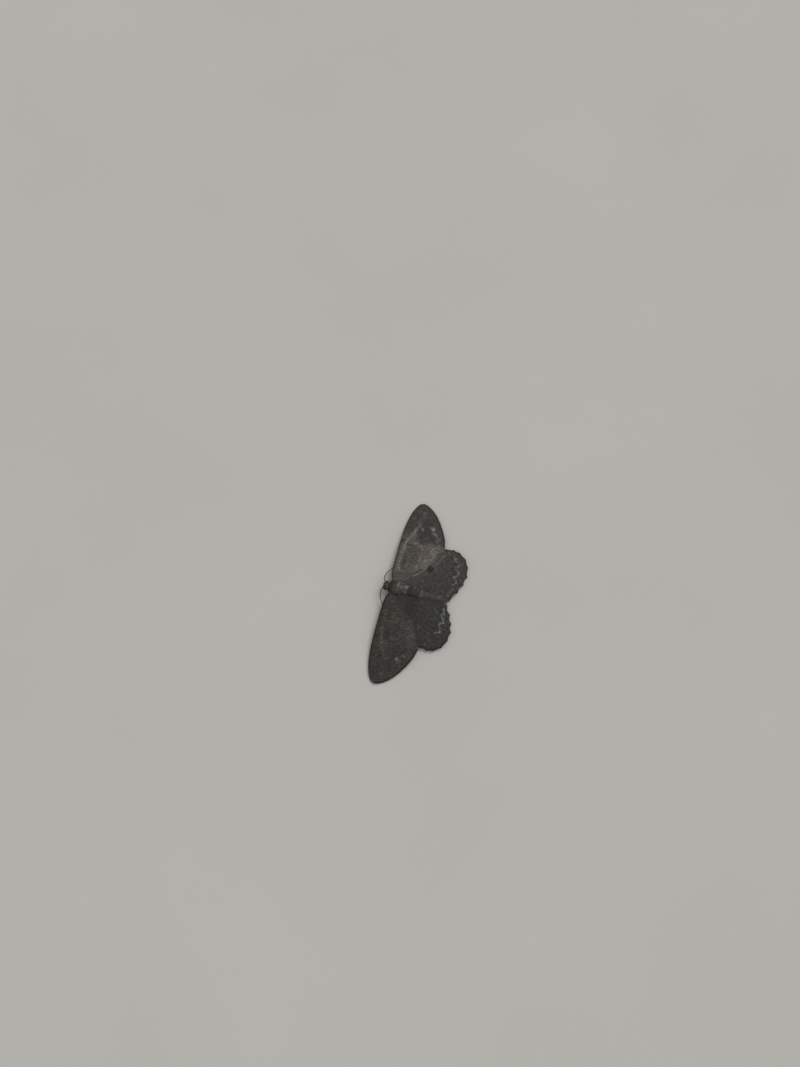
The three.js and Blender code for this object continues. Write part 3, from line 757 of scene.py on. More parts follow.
def vein_paths(kind, hinge, tips):
    """The veins of a left wing, from its root to their ends on the margin."""
    if kind == "forewing":
        cell = {"radius": (10.6, 3.25), "m1": (11.0, 4.1), "m2": (11.15, 5.0), "m3": (10.8, 5.75),
                "cubitus": (9.7, 6.05), "fork": (7.2, 5.55)}
        stem = [hinge, (6.0, 2.75), cell["radius"]]
        lower = [hinge + (0.2, 0.6), (4.5, 4.5), cell["fork"], cell["cubitus"], cell["m3"]]
        paths = [
            [hinge, (5.5, 1.65), (10.8, 1.1)],
            [(7.4, 2.85), (10.5, 2.15), (13.6, 1.15)],
            [(9.6, 3.1), (13.0, 2.3), (16.2, 1.4)],
            [(12.6, 2.9), (15.4, 2.5), (18.6, 1.9)],
            stem + [(12.6, 2.9), (17.0, 2.95), tips[0]],
            [(12.6, 2.9), (17.0, 3.6), tips[1]],
            [cell["radius"], cell["m1"], cell["m2"], cell["m3"]],
            [cell["m1"], (15.5, 4.7), tips[2]],
            [cell["m2"], (14.5, 5.9), tips[3]],
            lower + [(13.5, 7.0), tips[4]],
            [cell["cubitus"], (12.4, 7.6), tips[5]],
            [cell["fork"], (10.4, 7.8), tips[6]],
            [hinge + (0.3, 1.0), (4.2, 6.1), (7.6, 8.9), tips[8]],
        ]
    else:
        cell = {"sector": (7.0, 8.5), "m1": (7.3, 9.1), "m3": (6.4, 10.1), "cubitus": (5.6, 10.3),
                "fork": (4.1, 8.9)}
        paths = [
            [hinge, (5.0, 5.6), (8.6, 7.6), (11.4, 10.6)],
            [hinge, (3.9, 6.4), cell["sector"], (9.6, 10.4), tips[0]],
            [cell["sector"], cell["m1"], cell["m3"]],
            [cell["m1"], (9.6, 11.8), tips[1]],
            [(8.3, 10.4), (9.6, 12.8), tips[2]],
            [hinge + (0, 0.5), (2.8, 7.4), cell["fork"], cell["cubitus"], cell["m3"], (7.9, 13.0), tips[3]],
            [cell["cubitus"], (6.6, 13.4), tips[4]],
            [cell["fork"], (4.9, 12.6), tips[5]],
            [hinge + (0, 0.7), (2.3, 10.5), tips[6]],
            [hinge + (-0.1, 0.9), (1.5, 10.5), tips[7]],
        ]
    return [spline(path, CURVE_STEP) for path in paths]


def read_wing(name):
    """Everything that a wing's pieces need: its outlines, veins and height, from the CAD node."""
    kind, word = name.split("_")
    side = SIDES[word]
    points, triangles = node_arrays(name)
    loop = plan_loop(points, triangles) * (side, 1)
    doubled_area = np.sum(loop[:, 0] * np.roll(loop[:, 1], -1) - np.roll(loop[:, 0], -1) * loop[:, 1])
    if doubled_area < 0:
        loop = loop[::-1]
    hinge = HINGES[kind]
    outer = resampled(spline(loop, CURVE_STEP, closed=True), OUTLINE_STEP)
    normals = outward_normals(outer, 9)
    x, y = normals.T
    forward = smoothstep(-0.75, -0.25, y)  # 0 along the front edge, 1 round the rest
    free = forward * smoothstep(2.0, 3.2, np.linalg.norm(outer - hinge, axis=1))
    behind = smoothstep(-0.2, 0.25, x)  # the inner margin has a shorter fringe
    width = FRINGE * free * (0.4 + 0.6 * behind)
    even = outer
    for _ in range(EVENING):
        even = (np.roll(even, 1, 0) + 2 * even + np.roll(even, -1, 0)) / 4
    margin = (behind > 0.5) & (free > 0.9) & (outer[:, 1] > MARGIN_START[kind])
    turn = np.arctan2(*(outer - hinge).T[::-1])
    rim = outer[margin][np.argsort(turn[margin])]
    ends = rim[np.linspace(0, len(rim) - 1, TIPS).astype(int)]
    return {
        "name": name, "kind": kind, "side": side, "hinge": hinge, "outer": outer, "normals": normals,
        "membrane": outer - normals * width[:, None] - outward_normals(outer, 2) * 0.03,
        "width": width, "hollow": np.sum((even - outer) * normals, axis=1) * free * behind,
        "front": outer[(y < -0.6) & (outer[:, 0] > 1.5)], "margin": rim,
        "rear": outer[(y > 0.4) & (outer[:, 0] > 2.0) & (outer[:, 0] < 11.5)],
        "veins": np.vstack(vein_paths(kind, hinge, ends)), "height": height_fit(points, triangles),
    }


def away_from(line, wing, plan):
    """How far each place is from one of the wing's lines, such as its veins or its front edge."""
    return nearest(plan, wing[line])[1]


def wing_surface(wing, plan):
    """Height of the middle of the membrane, and half its thickness."""
    to_vein, edge = away_from("veins", wing, plan), away_from("margin", wing, plan)
    centre = wing["height"](plan) + SEAT[wing["kind"]]
    if wing["kind"] == "forewing":
        centre = centre - REAR_DROP * smoothstep(3.2, 0.4, away_from("rear", wing, plan))
    ridge = np.exp(-((to_vein / 0.13) ** 2)) * (0.35 + 0.65 * smoothstep(0.2, 5.0, edge))
    sag = (1 - np.exp(-((to_vein / 0.75) ** 2))) * 0.05
    crease = 0.035 * ripple(plan, 3.2, 11 + wing["side"])
    front = np.exp(-(((away_from("front", wing, plan) - 0.3) / 0.2) ** 2)) * 0.05
    return centre - sag + crease, HALF_MEMBRANE + 0.05 * ridge + front


def placed(wing, plan, height=0.0):
    """Points in space over places of the plan, or ways in space from ways in the plan."""
    return np.column_stack([plan[:, 0] * wing["side"], plan[:, 1], np.broadcast_to(height, len(plan))])


def wing_membrane(wing):
    """The thin veined sheet that carries the scales, closed all round."""
    rim = resampled(wing["membrane"], MESH_STEP)
    low, high = rim.min(0), rim.max(0)
    rows = []
    for k, y in enumerate(np.arange(low[1], high[1], MESH_ROW_STEP)):
        x = np.arange(low[0] + (k % 2) * MESH_STEP / 2, high[0], MESH_STEP)
        rows.append(np.column_stack([x, np.full(len(x), y)]))
    within = np.vstack(rows)
    within = within[inside(within, rim)]
    within = within[nearest(within, rim)[1] > MESH_STEP * 0.55]
    count = len(rim)
    edges = [(i, (i + 1) % count) for i in range(count)]
    made = delaunay_2d_cdt([Vector(p) for p in np.vstack([rim, within])], edges, [], 1, 1e-6, True)
    plan = np.array([tuple(v) for v in made[0]])
    faces = np.array([f for f in made[2] if len(f) == 3])
    faces = faces[inside(plan[faces].mean(1), rim)]
    a, b, c = (plan[faces[:, k]] for k in range(3))
    turned = (b - a)[:, 0] * (c - a)[:, 1] - (b - a)[:, 1] * (c - a)[:, 0] < 0
    faces[turned] = faces[turned][:, ::-1]
    if wing["side"] < 0:
        faces = faces[:, ::-1]
    total = len(plan)
    directed = {(a, b) for f in faces for a, b in zip(f, np.roll(f, -1))}
    a, b = np.array(sorted((a, b) for a, b in directed if (b, a) not in directed)).T
    walls = np.vstack([np.column_stack([b, a, a + total]), np.column_stack([b, a + total, b + total])])
    centre, half = wing_surface(wing, plan)
    tint = wing_tint(wing, plan) * 0.5
    make_piece(
        wing["name"] + "_membrane", np.vstack([placed(wing, plan, centre + way * half) for way in (1, -1)]),
        np.vstack([faces, faces[:, ::-1] + total, walls]), "membrane", "wing", replaces=[wing["name"]],
        uv=np.vstack([plan_uv(plan, rim, 0.02, 0.49), plan_uv(plan, rim, 0.51, 0.98)]),
        uv_triangles=np.vstack([faces, faces[:, ::-1] + total, walls % total]),
        tint=np.vstack([tint, np.tile(UNDER * 0.5, (total, 1))]),
    )


def surface_frame(wing, plan, above):
    """Point and normal of the wing's surface at places of the plan."""
    heights = []
    for shift in ((0, 0), (SLOPE_STEP, 0), (0, SLOPE_STEP)):
        centre, half = wing_surface(wing, plan + shift)
        heights.append(centre + half * above)
    slope_x, slope_y = (heights[1] - heights[0]) / SLOPE_STEP, (heights[2] - heights[0]) / SLOPE_STEP
    normals = unit(np.column_stack([-slope_x * wing["side"], -slope_y, np.ones(len(plan))]))
    return placed(wing, plan, heights[0]), normals * above


def swung(ways, turns):
    """Ways in the plan, each turned by its own angle."""
    cos, sin = np.cos(turns), np.sin(turns)
    return np.column_stack([ways[:, 0] * cos - ways[:, 1] * sin, ways[:, 0] * sin + ways[:, 1] * cos])


def along_surface(ways, normals):
    """Ways pressed flat onto a surface."""
    return unit(ways - normals * np.sum(ways * normals, axis=1, keepdims=True))


SCALE_SIZES = {1: (0.2, 0.105), -1: (0.36, 0.21)}  # length and width above and below
ROW_SHARE, PITCH_SHARE = 0.46, 0.84  # of a scale's length and width
MARGIN_PULL = 1.2  # within this of the rim the scales turn square to a fringed edge, or along a bound one
EDGE_CLEAR = {1: 0.0, -1: 0.12}  # how far roots stay inside the rim
PAST_RIM = 0.13  # how far a scale may reach past the membrane
BOUND = 0.06  # an edge whose fringe is narrower than this is bound by scales that lie along it
BINDING_LEANS = (-62, -24, 12, 42, 68)  # how far up each row of them looks, in degrees
BINDING_SHARE = 0.85  # of the places along it that carry a scale


def edge_binding(wing, rng):
    """Scales that lie along the front edge and the wing's root and wrap them, from above to below."""
    ring = np.column_stack([wing["membrane"], wing["normals"]])[wing["width"] < BOUND]
    rows = np.vstack([np.column_stack([ring, np.full(len(ring), lean)]) for lean in BINDING_LEANS])
    rows = rows[rng.random(len(rows)) < BINDING_SHARE]
    plan, square, lean = rows[:, :2], rows[:, 2:4], np.radians(rows[:, 4])
    count = len(plan)
    centre, half = wing_surface(wing, plan)
    along = np.column_stack([-square[:, 1], square[:, 0]])
    normals = unit(placed(wing, square) * np.cos(lean)[:, None] + np.outer(np.sin(lean), (0, 0, 1)))
    inner = plan + square * (0.008 - 0.035 * np.sin(lean) ** 2)[:, None]
    roots = placed(wing, inner, centre + (half + 0.01) * np.sin(lean) / np.sin(math.radians(60)))
    lies = along_surface(placed(wing, along, rng.normal(0, 0.05, count)), normals)
    tint = speckle(wing_tint(wing, plan), rng)
    places = plan_uv(plan, wing["membrane"])
    return scales(roots, normals, lies, *sizes("front edge", count, rng), tint, places)


def outward_lie(wing, plan, rng, untidy):
    """Ways outwards from the body, which turn along the front edge and square to the outer margin."""
    index, to_rim = nearest(plan, wing["membrane"])
    square = wing["normals"][index]
    along_front = np.column_stack([-square[:, 1], square[:, 0]]) - square * 0.15
    front = square[:, 1] < -0.4
    pull = np.where(front, 1.0, smoothstep(0.0, 0.5, square[:, 0]))
    pull = pull * (1 - smoothstep(0.2, MARGIN_PULL, to_rim))
    turned = np.where(front[:, None], along_front, square)
    outward = unit(mix(unit(plan - FANS[wing["kind"]]), turned, pull))
    return swung(outward, rng.normal(0, untidy, len(plan)) * (1 - 0.6 * front * pull))


def wing_scales(wing, above):
    """Overlapping scales over one face of a wing, in jittered rows that follow the veins outwards."""
    rng = dice(above, wing["name"])
    length, width = SCALE_SIZES[above]
    row, pitch = length * ROW_SHARE, width * PITCH_SHARE
    rim, hinge = wing["membrane"], wing["hinge"]
    places = []
    for k, radius in enumerate(np.arange(0.3, np.linalg.norm(rim - hinge, axis=1).max(), row)):
        turns = np.arange(-0.5 * np.pi, np.pi, pitch / radius) + (k % 2) * pitch / radius / 2
        places.append(hinge + radius * np.column_stack([np.cos(turns), np.sin(turns)]))
    plan = np.vstack(places)
    plan = plan + rng.normal(0, 1, plan.shape) * (row * 0.2, pitch * 0.2)
    to_rim = away_from("membrane", wing, plan)
    kept = inside(plan, rim) & (to_rim > EDGE_CLEAR[above])
    plan, to_rim = plan[kept], to_rim[kept]
    count = len(plan)
    roots, normals = surface_frame(wing, plan, above)
    lies = along_surface(placed(wing, outward_lie(wing, plan, rng, 0.14)), normals)
    if above > 0:
        tint = speckle(wing_tint(wing, plan), rng)
    else:
        tint = speckle(np.tile(UNDER, (count, 1)), rng, spreading=0.18)
    stray = rng.random(count) < 0.03
    lengths = np.minimum(length * rng.uniform(0.85, 1.2, count), to_rim + PAST_RIM)
    coat = scales(
        roots + normals * 0.003, normals, lies, lengths, width * rng.uniform(0.85, 1.15, count),
        length * rng.uniform(0.07, 0.12, count) * (1 + stray), tint, plan_uv(plan, rim),
    )
    if above > 0:
        make_coat(wing["name"] + "_scales", [coat, edge_binding(wing, rng)], "wing")
    else:
        make_coat(wing["name"] + "_underside", [coat], "wing")


FRINGE_PITCH = 0.03
# Each layer's share of the fringe's width, its height over the membrane and its shade.
FRINGE_LAYERS = ((1.0, 0.0, 1.0), (0.9, 0.03, 0.85), (0.66, -0.03, 1.2), (0.5, 0.045, 0.8))


def wing_fringe(wing):
    """Long narrow scales round the free margin, out to the solid's edge."""
    rng = dice(7, wing["name"])
    ring = np.column_stack([wing["membrane"], wing["normals"], wing["width"], wing["hollow"]])
    ring = np.vstack([ring, ring[:1]])
    length = distances(ring[:, :2])
    layers = []
    for layer in FRINGE_LAYERS:
        at = np.arange(0, length[-1], FRINGE_PITCH)
        at = at + rng.uniform(-0.4, 0.4, len(at)) * FRINGE_PITCH
        rows = [np.interp(at, length, values) for values in ring.T]
        layers.append(np.column_stack(rows + [np.full(len(at), value) for value in layer]))
    rows = np.vstack(layers)
    rows = rows[rows[:, 4] > BOUND]
    count = len(rows)
    plan, out, (width, hollow, share, rise, shade) = rows[:, :2], unit(rows[:, 2:4]), rows[:, 4:].T
    width = width + HOLLOW_FILL * np.clip(hollow, -0.12, 1)
    inner = plan - out * 0.1
    index, edge = nearest(inner, wing["margin"])
    phase = (index / (len(wing["margin"]) - 1) * (TIPS - 1)) % 1  # 0 where a vein ends
    roots = placed(wing, inner, wing_surface(wing, inner)[0] + rise)
    out = swung(out, rng.normal(0, 0.07, count))
    lies = unit(placed(wing, out, rng.normal(-0.03, 0.04, count)))
    normals = along_surface(np.tile([0.0, 0.0, 1.0], (count, 1)), lies)
    outer = smoothstep(-0.3, 0.3, out[:, 0])
    chequer = 0.55 + 0.4 * smoothstep(0.1, 0.28, np.minimum(phase, 1 - phase))
    chequer = 1.1 * (1 - outer) + chequer * outer
    tint = mix(wing_tint(wing, plan, edge + 0.6), GREY * 0.72, outer)
    tint = speckle(tint * (shade * chequer)[:, None], rng, spreading=0.15)
    coat = scales(
        roots, normals, lies, (width + 0.1) * share * rng.uniform(0.9, 1.05, count),
        rng.uniform(0.045, 0.065, count), rng.uniform(0.0, 0.03, count), tint, plan_uv(plan, wing["outer"]),
    )
    make_coat(wing["name"] + "_fringe", [coat], "wing")


ROOT_HAIR_REACH = 2.3
ROOT_HAIRS = 1700
INNER_HAIRS = 700  # along a hindwing's inner margin, over the gap to the abdomen


def wing_root_hair(wing):
    """Longer hair-scales over the root of a wing, where it passes under the body's coat."""
    rng = dice(50, wing["name"])
    hinge = wing["hinge"]
    far = rng.uniform(0, 1, ROOT_HAIRS) ** 0.8 * ROOT_HAIR_REACH
    turn = rng.uniform(-0.5 * np.pi, 0.75 * np.pi, ROOT_HAIRS)
    plan = hinge + np.column_stack([np.cos(turn), np.sin(turn)]) * far[:, None]
    plan = plan[rng.random(ROOT_HAIRS) > far / ROOT_HAIR_REACH * 0.8]
    if wing["kind"] == "hindwing":
        x, y = wing["membrane"].T
        inner = wing["membrane"][(wing["normals"][:, 0] < -0.5) & (y > hinge[1]) & (y < 14.2) & (x < 2.0)]
        picked = inner[rng.integers(0, len(inner), INNER_HAIRS)]
        plan = np.vstack([plan, picked + rng.uniform(0, 1, (INNER_HAIRS, 1)) ** 1.5 * (0.5, 0.0)])
    plan = plan[inside(plan, wing["membrane"])]
    roots, normals = surface_frame(wing, plan, 1)
    beside = smoothstep(2.0, 1.2, plan[:, 0]) * smoothstep(6.0, 7.5, plan[:, 1])
    outward = unit(outward_lie(wing, plan, rng, 0.2) + np.outer(beside, (-0.8, 0.0)))
    lies = along_surface(placed(wing, outward), normals)
    tint = speckle(wing_tint(wing, plan), rng)
    coat = hairs(
        roots, normals, lies, *sizes("wing root", len(plan), rng), 0.16 + 0.1 * beside, 0.12, tint,
        plan_uv(plan, wing["outer"]),
    )
    make_coat(wing["name"] + "_root_hair", [coat], "wing")


def make_wings():
    for kind in HINGES:
        for word in SIDES:
            wing = read_wing(f"{kind}_{word}")
            wing_membrane(wing)
            wing_scales(wing, 1)
            wing_scales(wing, -1)
            wing_fringe(wing)
            wing_root_hair(wing)


# ------------------------------------------------------------------ guides: the body's parts as ringed tubes

AROUND = 32  # points round the trunk


def sweep(path, wide, high=None, around=16):
    """A guide: rings round a path, their middles and the way along it. wide and high are half sizes."""
    path = np.asarray(path, float)
    high = wide if high is None else high
    along = unit(np.gradient(path, axis=0))
    side, sides = np.array([-1.0, 0.05, 0.0]), []
    for way in along:
        side = unit(side - way * (side @ way))
        sides.append(side)
    sides = np.array(sides)
    ups = np.cross(along, sides)
    turns = np.arange(around) * 2 * np.pi / around
    wide = np.broadcast_to(wide, len(path))[:, None, None]
    high = np.broadcast_to(high, len(path))[:, None, None]
    rings = path[:, None] + sides[:, None] * np.cos(turns)[None, :, None] * wide
    rings = rings + ups[:, None] * np.sin(turns)[None, :, None] * high
    return {"rings": rings, "middle": path, "along": along}


def tube_mesh(guide):
    """A guide's closed mesh."""
    rings, middle = guide["rings"], guide["middle"]
    count, around = rings.shape[:2]
    index = np.arange(count * around).reshape(count, around)
    ahead = np.roll(index, -1, axis=1)
    a, b, c, d = (part.ravel() for part in (index[:-1], ahead[:-1], ahead[1:], index[1:]))
    start, end = count * around, count * around + 1
    caps = [np.column_stack([np.full(around, start), ahead[0], index[0]]),
            np.column_stack([np.full(around, end), index[-1], ahead[-1]])]
    triangles = np.vstack([np.column_stack([a, b, c]), np.column_stack([a, c, d])] + caps)
    return np.vstack([rings.reshape(-1, 3), middle[[0, -1]]]), triangles


def joined(meshes):
    """One mesh's points and triangles from several."""
    points, triangles, count = [], [], 0
    for p, t in meshes:
        points.append(p)
        triangles.append(t + count)
        count += len(p)
    return np.vstack(points), np.vstack(triangles)


def edges_of(triangles):
    return np.vstack([triangles[:, [0, 1]], triangles[:, [1, 2]], triangles[:, [2, 0]]])


def reach(tree, start, way):
    """How far the surface is that way."""
    return tree.ray_cast(Vector(start), Vector(way))[3] or 0.0


def trunk_guide(name, depth, count):
    """Rings round a node of the trunk, from front to back and a coat's depth inside it."""
    points, triangles = node_arrays(name)
    tree = search_tree(points, triangles)
    low, high = points.min(0), points.max(0)
    middle = (low + high) / 2
    turns = np.arange(AROUND) * 2 * np.pi / AROUND
    ways = np.column_stack([-np.cos(turns), np.zeros(AROUND), np.sin(turns)])
    rings, middles = [], []
    for y in np.linspace(low[1] + depth, high[1] - depth, count):
        middle[1] = y
        for axis in np.eye(3)[[0, 2, 0]]:
            middle = middle + axis * (reach(tree, middle, axis) - reach(tree, middle, -axis)) / 2
        radii = np.array([reach(tree, middle, way) for way in ways])
        rings.append(middle + ways * np.maximum(radii - depth, radii * 0.5)[:, None])
        middles.append(middle)
    for end, way in ((0, -1), (-1, 1)):
        first, centre = rings[end], middles[end]
        for share in (0.85, 0.55, 0.2):
            shift = np.array([0, way * 0.12 * (1 - share**2), 0])
            place = 0 if end == 0 else len(rings)
            rings.insert(place, centre + (first - centre) * share + shift)
            middles.insert(place, centre + shift)
    middles = np.array(middles)
    return {"rings": np.array(rings), "middle": middles, "along": unit(np.gradient(middles, axis=0))}


def centre_line(name, across):
    """Middles of a limb's solid where it crosses those distances from the moth's midline."""
    points, triangles = node_arrays(name)
    far = np.abs(points[:, 0])
    a, b = np.unique(np.sort(edges_of(triangles)), axis=0).T
    middles = []
    for x in across:
        crossing = (far[a] - x) * (far[b] - x) < 0
        p, q = points[a[crossing]], points[b[crossing]]
        share = ((x - far[a[crossing]]) / (far[b[crossing]] - far[a[crossing]]))[:, None]
        cut = p + (q - p) * share
        middles.append((cut.min(0) + cut.max(0)) / 2)
    return np.array(middles)


def rows_on(guide, row, pitch, rng, untidy=0.2):
    """Staggered places over a guide: points, ways out, ways along, and how far round and along they lie."""
    rings, middle, along = guide["rings"], guide["middle"], guide["along"]
    length = np.concatenate([[0], np.cumsum(np.linalg.norm(np.diff(rings, axis=0), axis=2).mean(1))])
    made = []
    for k, at in enumerate(np.arange(row / 2, length[-1], row)):
        i = min(np.searchsorted(length, at) - 1, len(middle) - 2)
        t = (at - length[i]) / (length[i + 1] - length[i])
        ring = rings[i] * (1 - t) + rings[i + 1] * t
        centre, way = middle[i] * (1 - t) + middle[i + 1] * t, unit(along[i] * (1 - t) + along[i + 1] * t)
        ring = np.vstack([ring, ring[:1]])
        girth = distances(ring)
        count = max(3, int(round(girth[-1] / pitch)))
        turn = (np.arange(count) + 0.5 * (k % 2) + rng.uniform(-untidy, untidy, count)) / count % 1
        points = np.column_stack([np.interp(turn * girth[-1], girth, ring[:, axis]) for axis in range(3)])
        out = unit(points - centre)
        points = points + way * (rng.uniform(-untidy, untidy, count) * row)[:, None]
        far = np.full(count, at / length[-1])
        made.append(np.column_stack([points, out, np.tile(way, (count, 1)), turn, far]))
    made = np.vstack(made)
    return made[:, :3], made[:, 3:6], made[:, 6:9], made[:, 9:]


# ------------------------------------------------------------------ the skin

SKIN_VOXEL = 0.055
COAT_DEPTH = {"thorax": 0.2, "abdomen": 0.13, "head": 0.13}
HEAD_HALF_WIDTH = 0.85
HEAD_BEHIND_EYES = 0.18  # from the middle of the eyes back to the middle of the head
ABDOMEN_SEGMENTS = 8
WAIST, TAIL = 5.75, 15.1  # where the abdomen starts and ends
NECK_SIZE, WAIST_SIZE = (0.66, 0.62), (0.92, 0.88)  # half widths and heights
SEGMENT_STEP = 0.025  # how far each segment's hind edge stands over the next
ANTENNA_SOCKET = (0.27, 0.78, 2.32)  # of the left one
ANTENNA_SEGMENTS = 62
# How far out from the midline each leg's thigh starts, its knee lies and its foot starts.
LEG_JOINTS = {"foreleg": (1.1, 2.5, 4.0), "midleg": (1.2, 3.2, 5.0), "hindleg": (1.1, 2.5, 3.6)}
ANKLE_HEIGHT, TOE_HEIGHT = 0.2, 0.13
TARSUS_JOINTS = (0.42, 0.62, 0.77, 0.89)  # as shares of the foot


def temporary(points, triangles):
    """A mesh object in millimetres, for Blender's modifiers."""
    mesh = bpy.data.meshes.new("temporary")
    mesh.from_pydata(points.tolist(), [], triangles.tolist())
    return new_object("temporary", mesh)


def modified(piece, others=()):
    """The object's points and triangles after its modifiers. Takes away the object and the others."""
    graph = bpy.context.evaluated_depsgraph_get()
    done = piece.evaluated_get(graph)
    mesh = done.to_mesh()
    mesh.calc_loop_triangles()
    points = np.empty(len(mesh.vertices) * 3, np.float32)
    mesh.vertices.foreach_get("co", points)
    triangles = np.empty(len(mesh.loop_triangles) * 3, np.int32)
    mesh.loop_triangles.foreach_get("vertices", triangles)
    done.to_mesh_clear()
    for made in (piece, *others):
        data = made.data
        bpy.data.objects.remove(made)
        bpy.data.meshes.remove(data)
    return points.reshape(-1, 3).astype(float), triangles.reshape(-1, 3)


def remeshed(points, triangles, voxel):
    piece = temporary(points, triangles)
    remesh = piece.modifiers.new("remesh", "REMESH")
    remesh.mode = "VOXEL"
    remesh.voxel_size = voxel
    return modified(piece)


def smoothed(points, triangles, rounds):
    """Each point moved towards the mean of its neighbours, in pairs of steps that keep the volume."""
    start, end = edges_of(triangles).T
    degree = np.bincount(start, minlength=len(points))[:, None]
    for step in [0.5, -0.52] * rounds:
        total = np.column_stack([np.bincount(start, points[end, k], len(points)) for k in range(3)])
        points = points + (total / degree - points) * step
    return points


def united(trunk, limbs):
    """One closed mesh from the trunk and the limbs that grow out of it."""
    piece = temporary(*trunk)
    others = [temporary(*limb) for limb in limbs]
    for other in others:
        union = piece.modifiers.new("union", "BOOLEAN")
        union.operation, union.solver, union.object = "UNION", "MANIFOLD", other
    return modified(piece, others)


def ball(centre, radii, turn=0.0):
    """An egg shape's guide, turned about the vertical by some degrees."""
    angle = np.linspace(0.06, np.pi - 0.06, 14)
    path = np.column_stack([np.zeros(14), -np.cos(angle) * radii[1], np.zeros(14)])
    guide = sweep(path, np.sin(angle) * radii[0], np.sin(angle) * radii[2], AROUND)
    spin = np.array(Matrix.Rotation(math.radians(turn), 3, "Z")).T
    rings, middle, along = (guide[key] @ spin for key in ("rings", "middle", "along"))
    return {"rings": rings + centre, "middle": middle + centre, "along": along}


def head_guide():
    low, high = box("head")
    centre = np.array([0, EYE_BEHIND_FRONT + HEAD_BEHIND_EYES, (low[2] + high[2]) / 2])
    half = np.array([HEAD_HALF_WIDTH, centre[1] - low[1], (high[2] - low[2]) / 2])
    return ball(centre, half - COAT_DEPTH["head"])


def abdomen_guide():
    guide = trunk_guide("abdomen", COAT_DEPTH["abdomen"], 120)
    y = guide["middle"][:, 1]
    segment = (y - WAIST) / (y[-1] + 0.2 - WAIST) * ABDOMEN_SEGMENTS
    step = SEGMENT_STEP * (segment % 1 - 0.6) * smoothstep(0.6, 1.0, segment)
    out = unit(guide["rings"] - guide["middle"][:, None])
    guide["rings"] = guide["rings"] + out * step[:, None, None]
    return guide


def antenna_guide(word):
    """A thin thread of many short segments, from its socket on the head to its tip."""
    side = SIDES[word]
    far = np.abs(box(f"antenna_{word}")[:, 0]).max()
    cuts = np.concatenate([[0.45, 0.7, 1.1, 1.6, 2.2], np.linspace(3.0, far - 0.2, 7)])
    socket = np.array([ANTENNA_SOCKET]) * (side, 1, 1)
    line = spline(np.vstack([socket, centre_line(f"antenna_{word}", cuts)]), 0.048)
    share = np.linspace(0, 1, len(line))
    thick = 0.1 - 0.055 * share**0.8
    thick = thick * (1 + 0.09 * np.cos(share * ANTENNA_SEGMENTS * 2 * np.pi))
    thick = thick + 0.08 * np.exp(-(((share - 0.02) / 0.015) ** 2))
    return sweep(line, thick, around=10)


def foot_thickness(t):
    pinch = sum(np.exp(-(((t - joint) / 0.012) ** 2)) for joint in TARSUS_JOINTS)
    return (0.13 - 0.035 * t) * (1 - 0.28 * pinch)


# Half the thickness of a leg's hip, thigh, shin and foot, by how far along each of them.
LEG_THICKNESS = (
    lambda t: 0.3 - 0.08 * t,
    lambda t: 0.17 + 0.1 * np.sin(np.pi * t**0.8),
    lambda t: 0.13 + 0.07 * np.sin(np.pi * t**1.3 * 0.8),
    foot_thickness,
)


def leg_guide(name, word):
    """A leg from inside the thorax to the end of its foot, and how far along it each joint lies."""
    solid = f"{name}_{word}"
    far = np.abs(box(solid)[:, 0]).max()
    middles = centre_line(solid, (*LEG_JOINTS[name], far - 0.3))
    middles[2:, 2] = ANKLE_HEIGHT, TOE_HEIGHT
    hip = np.array([SIDES[word] * 0.45, middles[0, 1] + 0.25, 1.45])
    corners = np.vstack([hip, middles])
    spans = np.linalg.norm(np.diff(corners, axis=0), axis=1)
    parts, radii = [], []
    for part, (span, thickness) in enumerate(zip(spans, LEG_THICKNESS)):
        t = np.linspace(0, 1, max(6, int(span / 0.06)), endpoint=part == 3)
        parts.append(corners[part] + (corners[part + 1] - corners[part]) * t[:, None])
        radii.append(thickness(t))
    path, thick = np.vstack(parts), np.concatenate(radii)
    for _ in range(3):
        path[1:-1] = (path[:-2] + 2 * path[1:-1] + path[2:]) / 4
        thick[1:-1] = (thick[:-2] + 2 * thick[1:-1] + thick[2:]) / 4
    path[:, 2] = np.maximum(path[:, 2], thick + 0.06)
    return {**sweep(path, thick, around=12), "joints": np.cumsum(spans) / spans.sum(), "corners": corners}


# A left palp's course, in shares of its solid's box: across, back and up.
PALP_COURSE = (
    (0.51, 0.91, 0.46), (0.44, 0.63, 0.46), (0.42, 0.39, 0.44), (0.38, 0.25, 0.54), (0.345, 0.18, 0.74),
    (0.33, 0.2, 0.9),
)


def palp_guide(word):
    """A short jointed feeler that curves up in front of the face."""
    low, high = box(f"palp_{word}")
    shares = np.array(PALP_COURSE)
    if word == "right":
        shares = np.column_stack([1 - shares[:, 0], shares[:, 1:]])
    path = spline(low + (high - low) * shares, 0.045)
    share = np.linspace(0, 1, len(path))
    bushy = 0.06 * smoothstep(0.1, 0.4, share) * smoothstep(0.9, 0.6, share)
    return sweep(path, bushy + 0.105 - 0.06 * share**2, around=12)


